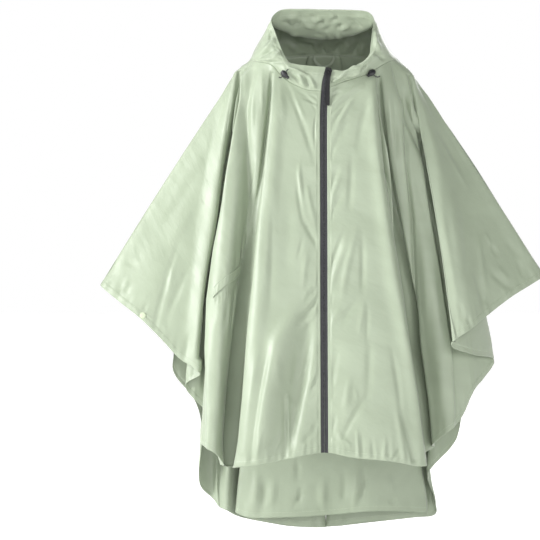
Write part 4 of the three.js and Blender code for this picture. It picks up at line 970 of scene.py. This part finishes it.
neck_controls = np.stack([fold_points(fold, np.zeros(1)) for fold in ring], axis=1)


def neck_seam_at(turns, side):
    rows = [(i, fold) for i, fold in enumerate(ring) if fold["side"] == side and fold["inset"] == 0]
    rows.sort(key=lambda row: row[1]["turn"])
    places = np.interp(turns, [fold["turn"] for _, fold in rows], [i for i, _ in rows])
    return through(neck_controls, places)[0]


shares = np.linspace(1, 0, HOOD_ROWS + 1)
hood_controls = np.stack([station_line(station, shares) for station in hood_ring], axis=1)
for index, station in enumerate(hood_ring):
    if station["lowOut"] in ZIP_WIDTHS.values():
        middle = smooth_value(zip_line, "height", "x", hood_controls[:, index, 2])
        hood_controls[:, index, 0] = middle + station["side"] * station["lowOut"]
hood_places = places_of(hood_ring, HOOD_FINER)
hood = through(hood_controls, hood_places)
round_turn = [s["turn"] if s["side"] == RIGHT else 360 - s["turn"] for s in hood_ring]
turns = np.interp(hood_places, range(len(hood_ring)), round_turn)
seam = np.where((turns <= 180)[:, None], neck_seam_at(np.minimum(turns, 180), RIGHT),
                neck_seam_at(np.minimum(360 - turns, 180), LEFT))
SEAM_ROWS = 10
ease = np.clip((np.arange(HOOD_ROWS + 1) - (HOOD_ROWS - SEAM_ROWS)) / SEAM_ROWS, 0, 1)[:, None, None] ** 2
hood = hood + ease * (seam[None] - hood[-1:])
hood_creases = {
    "rim": numbers(CREASE_COLUMNS, """
        -98 92 -77 85 2 3 3 0.2 0.2; -91 100 -61 103 2 3 -2.6 0 0; -77 77 -47 94 3 3.5 3.2 0 0;
        -66 112 -33 100 -2 3 2.6 0 0; -49 84 -19 77 2 3.5 -3 0 0; -42 108 -9 96 3 3 3 0 0;
        -30 94 -2 105 -2 3 -2.6 0 0; -16 82 5 96 2 3 3.4 0 0; -5 75 19 84 -2 3 2.8 0 0;
        5 110 30 98 3 3 -3 0 0; 14 92 37 105 2 3.5 3 0 0; 26 80 44 92 -3 3 3.2 0 0;
        37 73 63 84 2 3 -2.8 0 0; 49 103 82 94 -2 3 2.6 0 0; 61 91 91 77 3 3.5 3 0 0;
        73 108 98 103 1 3 -2.4 0 0; -84 68 -56 66 -2 4 -2.6 0 0; -26 66 0 63 1 2.5 2.4 0 0;
        2 64 5 52 0 2 2.4 0.6 0; 12 63 14 51 0 2 -2.4 0.6 0; 21 64 26 53 0 2 2.4 0.6 0;
        33 66 37 54 0 2 -2.2 0.6 0
    """),
    "neck": numbers(CREASE_COLUMNS, """
        -26 54 -9 9 3 4 3.4 0.2 0; -12 49 7 14 -4 4 -3 0.2 0; 0 44 9 5 2 3 3 0 0;
        -33 47 -28 12 1 3 -2.6 0 0; 51 51 28 14 -4 5 -3.4 0.2 0; 68 51 40 9 -4 5 3.4 0.2 0;
        87 58 63 7 3 4 -3.4 0.2 0; 91 44 75 0 2 4 3 0 0; -84 49 -33 5 -4 6 3 0.2 0; -66 51 -26 28 2 4 -2 0 0
    """),
    "side": numbers(CREASE_COLUMNS, """
        -147 14 -105 61 3 6 2.6 0 0; -152 7 -117 30 2 5 -2.6 0.2 0; -157 0 -110 7 3 5 2.4 0.3 0;
        -131 33 -115 91 2 5 -2.2 0 0; -122 9 -98 30 -2 4 2.2 0 0; -140 -6 -84 0 2 4 -2.2 0.3 0;
        -82 -14 -35 -35 2 3 2.6 0.4 0; -77 -26 -56 -58 2 3 -2.6 0.2 0.4; -61 -23 -44 -63 1 3 2.4 0.2 0.4;
        -47 -30 -35 -66 1 2.5 -2.4 0.2 0.4; -35 -33 -19 -72 2 3 2.6 0.2 0.4;
        -91 -19 -75 -47 1 3 2.2 0.2 0.4; 12 -49 51 -26 -3 3 3 0.2 0.3; 16 -61 68 -30 -3 3 -2.8 0.2 0.3;
        40 -16 87 -9 -2 3 2.4 0.3 0; 51 -40 98 -14 -2 4 2.6 0.2 0; 84 -30 103 0 1 3 -2.4 0.2 0;
        133 16 112 58 -3 6 2.4 0 0; 143 2 115 26 -2 5 -2.4 0.2 0; 122 26 114 84 -2 5 2.2 0 0
    """),
    "back": numbers(CREASE_COLUMNS, """
        -70 90 -60 40 4 9 3 0 0; 40 95 66 44 -4 9 -3 0 0; -20 92 -8 38 3 7 -2.6 0 0;
        96 80 110 46 3 7 2.6 0 0; -112 84 -116 48 3 7 -2.6 0 0
    """),
}
HOOD_DEPTH = 2.4


def hood_relief(points, level, turns):
    """Creases of the hood, each on its layer. The level is 0 at the neck seam and 4 at the rim."""
    x, z = as_seen(points)
    behind = smooth((turns - 84) / 14) * smooth((276 - turns) / 14)
    layers = {
        "rim": behind * smooth((level - 2.7) / 0.5),
        "neck": behind * smooth((1.2 - level) / 0.5),
        "back": behind * smooth((level - 0.3) / 0.3) * smooth((2.6 - level) / 0.4),
        "side": 1 - behind,
    }
    fade = smooth((4 - level) / 0.35) * smooth(level / 0.3)
    total = np.zeros(x.shape)
    for layer, share in layers.items():
        total += share * fade * crease_field(hood_creases[layer], x, z)
    return HOOD_DEPTH * total


CHANNEL_WIDTH = 17
CHANNEL_RAISE = 0.8
level = (shares * 4)[:, None].repeat(hood.shape[1], axis=1)
round_turns = turns[None].repeat(hood.shape[0], axis=0)
from_rim = lengths(hood, 0)
rim_run = lengths(hood[:1], 1).repeat(hood.shape[0], axis=0)
relief = hood_relief(hood, level, round_turns)
relief = relief + CHANNEL_RAISE * np.clip((CHANNEL_WIDTH - from_rim) / 1.5, 0, 1)
relief = relief + puckers(rim_run, from_rim - CHANNEL_WIDTH, seed=31, spacing=13, height=1.7, reach=13)
relief = relief * smooth((lengths(hood[::-1], 0)[::-1]) / 12)
zip_share = smooth(lengths(hood, 1) / 14) * smooth(lengths(hood[:, ::-1], 1)[:, ::-1] / 14)
hood = hood + normals_of(hood) * (relief * zip_share)[..., None]
hood_middle = int(np.argmin(abs(turns - 180)))
hood_cloth = piece_from("hood_cloth", hood, taffeta)
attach(hood_cloth, "poncho")
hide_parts("hood_right", "hood_left")
declare_cut(hood_cloth, hood)

# %% [markdown]
# The pocket is a slit across the strip beside the front panel, covered by a narrow welt. Its upper edge
# is sewn flat and its lower edge stands off, so that the slit below it stays dark.

# %% Pocket welt
WELT_COLUMNS = ["turn", "top", "bottom"]
welt_ends = table(WELT_COLUMNS, [[48.9, 1.433, 1.462], [60.9, 1.556, 1.586]])
WELT_POINTS = 70
WELT_RIM = 10


def front_relief(points):
    x, z = as_seen(points)
    return (crease_field(front_creases, x, z) + valley_field(front_valleys, x, z)
            + slope_field(front_slopes, x, z))


turn_places = [(fold["turn"], i) for i, fold in enumerate(ring)
               if fold["side"] == RIGHT and fold["turn"] < 90]
welt_turns = np.linspace(welt_ends[0]["turn"], welt_ends[1]["turn"], WELT_POINTS)
welt_places = np.interp(welt_turns, *zip(*turn_places))
welt_lines = []
for share, place in zip(np.linspace(0, 1, WELT_POINTS), welt_places):
    top = welt_ends[0]["top"] + share * (welt_ends[1]["top"] - welt_ends[0]["top"])
    bottom = welt_ends[0]["bottom"] + share * (welt_ends[1]["bottom"] - welt_ends[0]["bottom"])
    along = np.linspace(top, bottom, WELT_RIM)
    controls = np.stack([fold_points(fold, along) for fold in ring], axis=1)
    welt_lines.append(through(controls, np.array([place]))[:, 0])
welt = np.stack(welt_lines, axis=1)
across = np.linspace(0, 1, WELT_RIM)[:, None]
ends = smooth(np.minimum(np.linspace(0, 1, WELT_POINTS), np.linspace(1, 0, WELT_POINTS)) / 0.04)[None]
welt_run = lengths(welt, 1)
stand = 1.0 + (0.5 + 0.9 * smooth(across / 0.8)) * ends
stand = stand + puckers(welt_run, 8 * across, seed=41, spacing=9, height=0.9, reach=9)
welt = welt + normals_of(welt) * (front_relief(welt) + stand)[..., None]
welt_cloth = piece_from("pocket_welt_cloth", welt, taffeta, wall=1.0)
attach(welt_cloth, "poncho")
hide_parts("pocket_welt")
declare_cut(welt_cloth, welt)

# %% [markdown]
# The hanger loop is a narrow tape of the same cloth, folded double and sewn down at both ends inside the
# neck.

# %% Hanger loop
LOOP = {"half": 26, "top": 20, "bottom": -7, "depth": 71.5, "width": 6, "share": 0.82, "roundness": 0.8}
turns_round = np.linspace(0, np.pi, 61)
loop_x = -LOOP["half"] * np.cos(turns_round)
loop_z = LOOP["top"] - (LOOP["top"] - LOOP["bottom"]) * np.sin(turns_round) ** LOOP["roundness"]
tape = np.linspace(1, 0, 9)[:, None]
crown = 0.5 * np.sin(np.pi * tape) + 0.25 * np.sin(9 * turns_round)[None]
loop = np.stack([
    loop_x[None] * (1 - (1 - LOOP["share"]) * tape),
    LOOP["depth"] - crown,
    loop_z[None] + LOOP["width"] * tape + 0 * loop_x[None],
], axis=-1)
loop_tape = piece_from("hanger_loop_tape", loop, taffeta, wall=1.2)
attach(loop_tape, "poncho")
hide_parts("hanger_loop")
print("loop tape", round(float(lengths(loop, 1)[4, -1])), "mm long")

# %% [markdown]
# Stitches and coil teeth are small shapes repeated along a line. Geometry Nodes lays them at an even
# pitch on the line and turns each to follow it. The result is made real before anything rides on a body.

# %% Repeats along a line
INPUT_KINDS = {key: "NodeSocketFloat" for key in ("Pitch", "Thickness", "Length", "Across", "Unevenness")}
INPUT_KINDS.update({"Seed": "NodeSocketInt", "Finish": "NodeSocketMaterial"})
repeat_tree = bpy.data.node_groups.new("repeat along a line", "GeometryNodeTree")
repeat_tree.interface.new_socket("Geometry", in_out="INPUT", socket_type="NodeSocketGeometry")
for key, kind in INPUT_KINDS.items():
    repeat_tree.interface.new_socket(key, in_out="INPUT", socket_type=kind)
repeat_tree.interface.new_socket("Geometry", in_out="OUTPUT", socket_type="NodeSocketGeometry")
given = add_node(repeat_tree, "NodeGroupInput").outputs
line = add_node(repeat_tree, "GeometryNodeMeshToCurve", inputs={0: given["Geometry"]})
spots = add_node(repeat_tree, "GeometryNodeCurveToPoints", {"mode": "LENGTH"},
                 {"Curve": line.outputs[0], "Length": given["Pitch"]})
size = add_node(repeat_tree, "ShaderNodeCombineXYZ",
                inputs={"X": given["Across"], "Y": given["Thickness"], "Z": given["Length"]})
bead = add_node(repeat_tree, "GeometryNodeMeshUVSphere", inputs={"Segments": 6, "Rings": 4, "Radius": 0.5})
shape = add_node(repeat_tree, "GeometryNodeTransform",
                 inputs={"Geometry": bead.outputs["Mesh"], "Scale": size.outputs[0]})
least = combine(repeat_tree, "ShaderNodeMath", "SUBTRACT", 1.0, given["Unevenness"])
varied = add_node(repeat_tree, "FunctionNodeRandomValue", inputs={2: least, 3: 1.0, "Seed": given["Seed"]})
laid = add_node(repeat_tree, "GeometryNodeInstanceOnPoints", inputs={
    "Points": spots.outputs["Points"], "Instance": shape.outputs[0], "Rotation": spots.outputs["Rotation"],
    "Scale": varied.outputs[1]})
real = add_node(repeat_tree, "GeometryNodeRealizeInstances", inputs={0: laid.outputs[0]})
painted = add_node(repeat_tree, "GeometryNodeSetMaterial",
                   inputs={0: real.outputs[0], "Material": given["Finish"]})
add_node(repeat_tree, "NodeGroupOutput", inputs={0: painted.outputs[0]})


def repeat_along(name, lines, values):
    """Makes one piece with the small shape repeated along every line of points."""
    points = np.concatenate(lines) * MM
    starts = np.cumsum([0, *[len(run) for run in lines]])
    edges = [(i, i + 1) for a, b in zip(starts, starts[1:]) for i in range(a, b - 1)]
    mesh = bpy.data.meshes.new(name)
    mesh.from_pydata(points.tolist(), edges, [])
    piece = bpy.data.objects.new(name, mesh)
    bpy.context.scene.collection.objects.link(piece)
    laying = piece.modifiers.new("repeat", "NODES")
    laying.node_group = repeat_tree
    for item in repeat_tree.interface.items_tree:
        if item.name in values:
            laying[item.identifier] = values[item.name]
    settled = bpy.data.meshes.new_from_object(piece.evaluated_get(bpy.context.evaluated_depsgraph_get()))
    piece.modifiers.clear()
    piece.data = settled
    settled.polygons.foreach_set("use_smooth", [True] * len(settled.polygons))
    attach(piece, "poncho")
    print(name, len(settled.polygons), "faces")


print("repeat inputs:", ", ".join(INPUT_KINDS))

# %% Stitches
STITCH = {"Pitch": 0.0034, "Thickness": 0.0005, "Across": 0.0005, "Length": 0.0026, "Unevenness": 0.12,
          "Seed": 5, "Finish": thread}
THREAD_LIFT = 0.12


def line_above_hem(grid, distance, lift):
    """Line of the cloth at one distance from its last row."""
    outward = normals_of(grid)
    to_hem = lengths(grid[::-1], 0)[::-1]
    columns = np.arange(grid.shape[1])
    rows = np.array([np.interp(-distance, -to_hem[:, c], np.arange(len(grid))) for c in columns])
    low = np.clip(rows.astype(int), 0, len(grid) - 2)
    share = (rows - low)[:, None]
    field = grid + outward * lift
    return field[low, columns] * (1 - share) + field[low + 1, columns] * share


def line_beside(grid, distance, lift):
    """Line of the cloth at one distance from its first column."""
    return line_above_hem(grid[:, ::-1].transpose(1, 0, 2), distance, -lift)


def both_faces(find, grid, distance):
    return [find(grid, distance, THREAD_LIFT), find(grid, distance, -SHELL - THREAD_LIFT)]


HEM_STITCH = HEM_DEPTH - 1.5
NECK_STITCH = 3
ZIP_STITCH = 4
CHANNEL_STITCH = CHANNEL_WIDTH + 0.5
sewn = []
for grid in grids.values():
    sewn += both_faces(line_above_hem, grid, HEM_STITCH)
    sewn += both_faces(line_above_hem, grid[::-1, ::-1], NECK_STITCH)
for find, grid, distance in (
    (line_beside, grids["front_right"], ZIP_STITCH),
    (line_beside, grids["front_left"][:, ::-1], ZIP_STITCH),
    (line_above_hem, hood[::-1, ::-1], CHANNEL_STITCH),
    (line_above_hem, hood, NECK_STITCH),
):
    sewn += both_faces(find, grid, distance)
for step in (-1, 1):
    sewn.append(hood[:, hood_middle + step] + normals_of(hood)[:, hood_middle + step] * THREAD_LIFT)
sewn.append(welt[1] + normals_of(welt)[1] * THREAD_LIFT)
sewn.append(loop[4, :5] - np.array([0, 0.5, 0]))
sewn.append(loop[4, -5:] - np.array([0, 0.5, 0]))
repeat_along("sewn_stitches", sewn, STITCH)

# %% [markdown]
# The zip is a coil zip: each tape carries a spring of nylon, and the two springs interlock. Seen from
# outside the teeth are short bars across the middle.

# %% Coil teeth
COIL = {"Pitch": 0.0015, "Thickness": 0.0011, "Across": 0.0036, "Length": 0.0011, "Unevenness": 0.04,
        "Seed": 2, "Finish": coil_nylon}
COIL_OFFSET = 1.5
SLIDER_FOOT = -46
coil_lines = []
for side, node_name in ((RIGHT, "zip_tape_right"), (LEFT, "zip_tape_left")):
    corners = np.array([vertex.co[:] for vertex in nodes[node_name].data.vertices]) / MM
    middle = smooth_value(zip_line, "height", "x", corners[:, 2])
    inner_edge = corners[abs(corners[:, 0] - middle) < 1]
    inner_edge = inner_edge[np.argsort(-inner_edge[:, 2])]
    heights = np.unique(np.round(inner_edge[:, 2]))[::-1]
    front = np.array([inner_edge[abs(inner_edge[:, 2] - h) < 2.5][:, 1].min() for h in heights])
    down = np.arange(SLIDER_FOOT, heights[-1] + 3, -3.0) - (0.75 if side > 0 else 0)
    y = np.interp(-down, -heights, front)
    x = smooth_value(zip_line, "height", "x", down) + side * COIL_OFFSET
    coil_lines.append(np.stack([x, y - 0.35, down], axis=-1))
repeat_along("zip_coil", coil_lines, COIL)

# %% [markdown]
# Soft light from a wide window on the left and a weaker one on the right keeps the folds readable, as in
# a catalogue picture. The floor is plain and pale.

# %% Stage and light
FLOOR = -1.2
FLOOR_REACH = 30
floor_corners = [(FLOOR_REACH * a, FLOOR_REACH * b, FLOOR) for a, b in ((-1, -1), (1, -1), (1, 1), (-1, 1))]
floor_mesh = bpy.data.meshes.new("floor")
floor_mesh.from_pydata(floor_corners, [], [(0, 1, 2, 3)])
floor = bpy.data.objects.new("floor", floor_mesh)
bpy.context.scene.collection.objects.link(floor)
pale, tree, shader = new_material("matt paper, white, lit from below", "#FAFAF9", 0.95)
shader.inputs["Emission Color"].default_value = (1, 1, 1, 1)
shader.inputs["Emission Strength"].default_value = 0.34
floor_mesh.materials.append(pale)


def area_light(name, place, target, size, power):
    data = bpy.data.lights.new(name, "AREA")
    data.size = size
    data.energy = power
    light = bpy.data.objects.new(name, data)
    light.location = place
    light.rotation_euler = (Vector(target) - Vector(place)).to_track_quat("-Z", "Y").to_euler()
    bpy.context.scene.collection.objects.link(light)


MIDDLE = (0, 0, -0.5)
area_light("key", (-3.7, -1.8, 0.5), MIDDLE, 1.0, 184)
area_light("front", (0.4, -4.8, 0.3), (0, 0, -0.3), 2.2, 58)
area_light("right fill", (3.4, -3.4, 0.3), (0.2, 0, -0.4), 1.6, 32)
area_light("back", (1.6, 4.2, 1.2), MIDDLE, 2.2, 60)
sun_data = bpy.data.lights.new("table light", "SUN")
sun_data.energy = 1.7
sun_data.angle = math.radians(40)
sun = bpy.data.objects.new("table light", sun_data)
sun.rotation_euler = Vector((0.5, 0.1, -1)).to_track_quat("-Z", "Y").to_euler()
bpy.context.scene.collection.objects.link(sun)

# The studio is white at eye level and dimmer overhead, so that the folds keep their shade.
world = bpy.data.worlds.new("studio")
world.use_nodes = True
studio = world.node_tree
way = add_node(studio, "ShaderNodeSeparateXYZ", inputs={0: add_node(studio, "ShaderNodeTexCoord").outputs[0]})
height = add_node(studio, "ShaderNodeMath", {"operation": "ABSOLUTE"}, {0: way.outputs["Z"]})
walls = add_node(studio, "ShaderNodeMapRange", inputs={
    "Value": height.outputs[0], "From Min": 0.15, "From Max": 0.32, "To Min": 1.0, "To Max": 0.2})
studio.links.new(walls.outputs[0], studio.nodes["Background"].inputs["Strength"])
studio.nodes["Background"].inputs["Color"].default_value = (1, 1, 1, 1)
bpy.context.scene.world = world
bpy.context.scene.view_settings.view_transform = "Standard"
print("light ready")
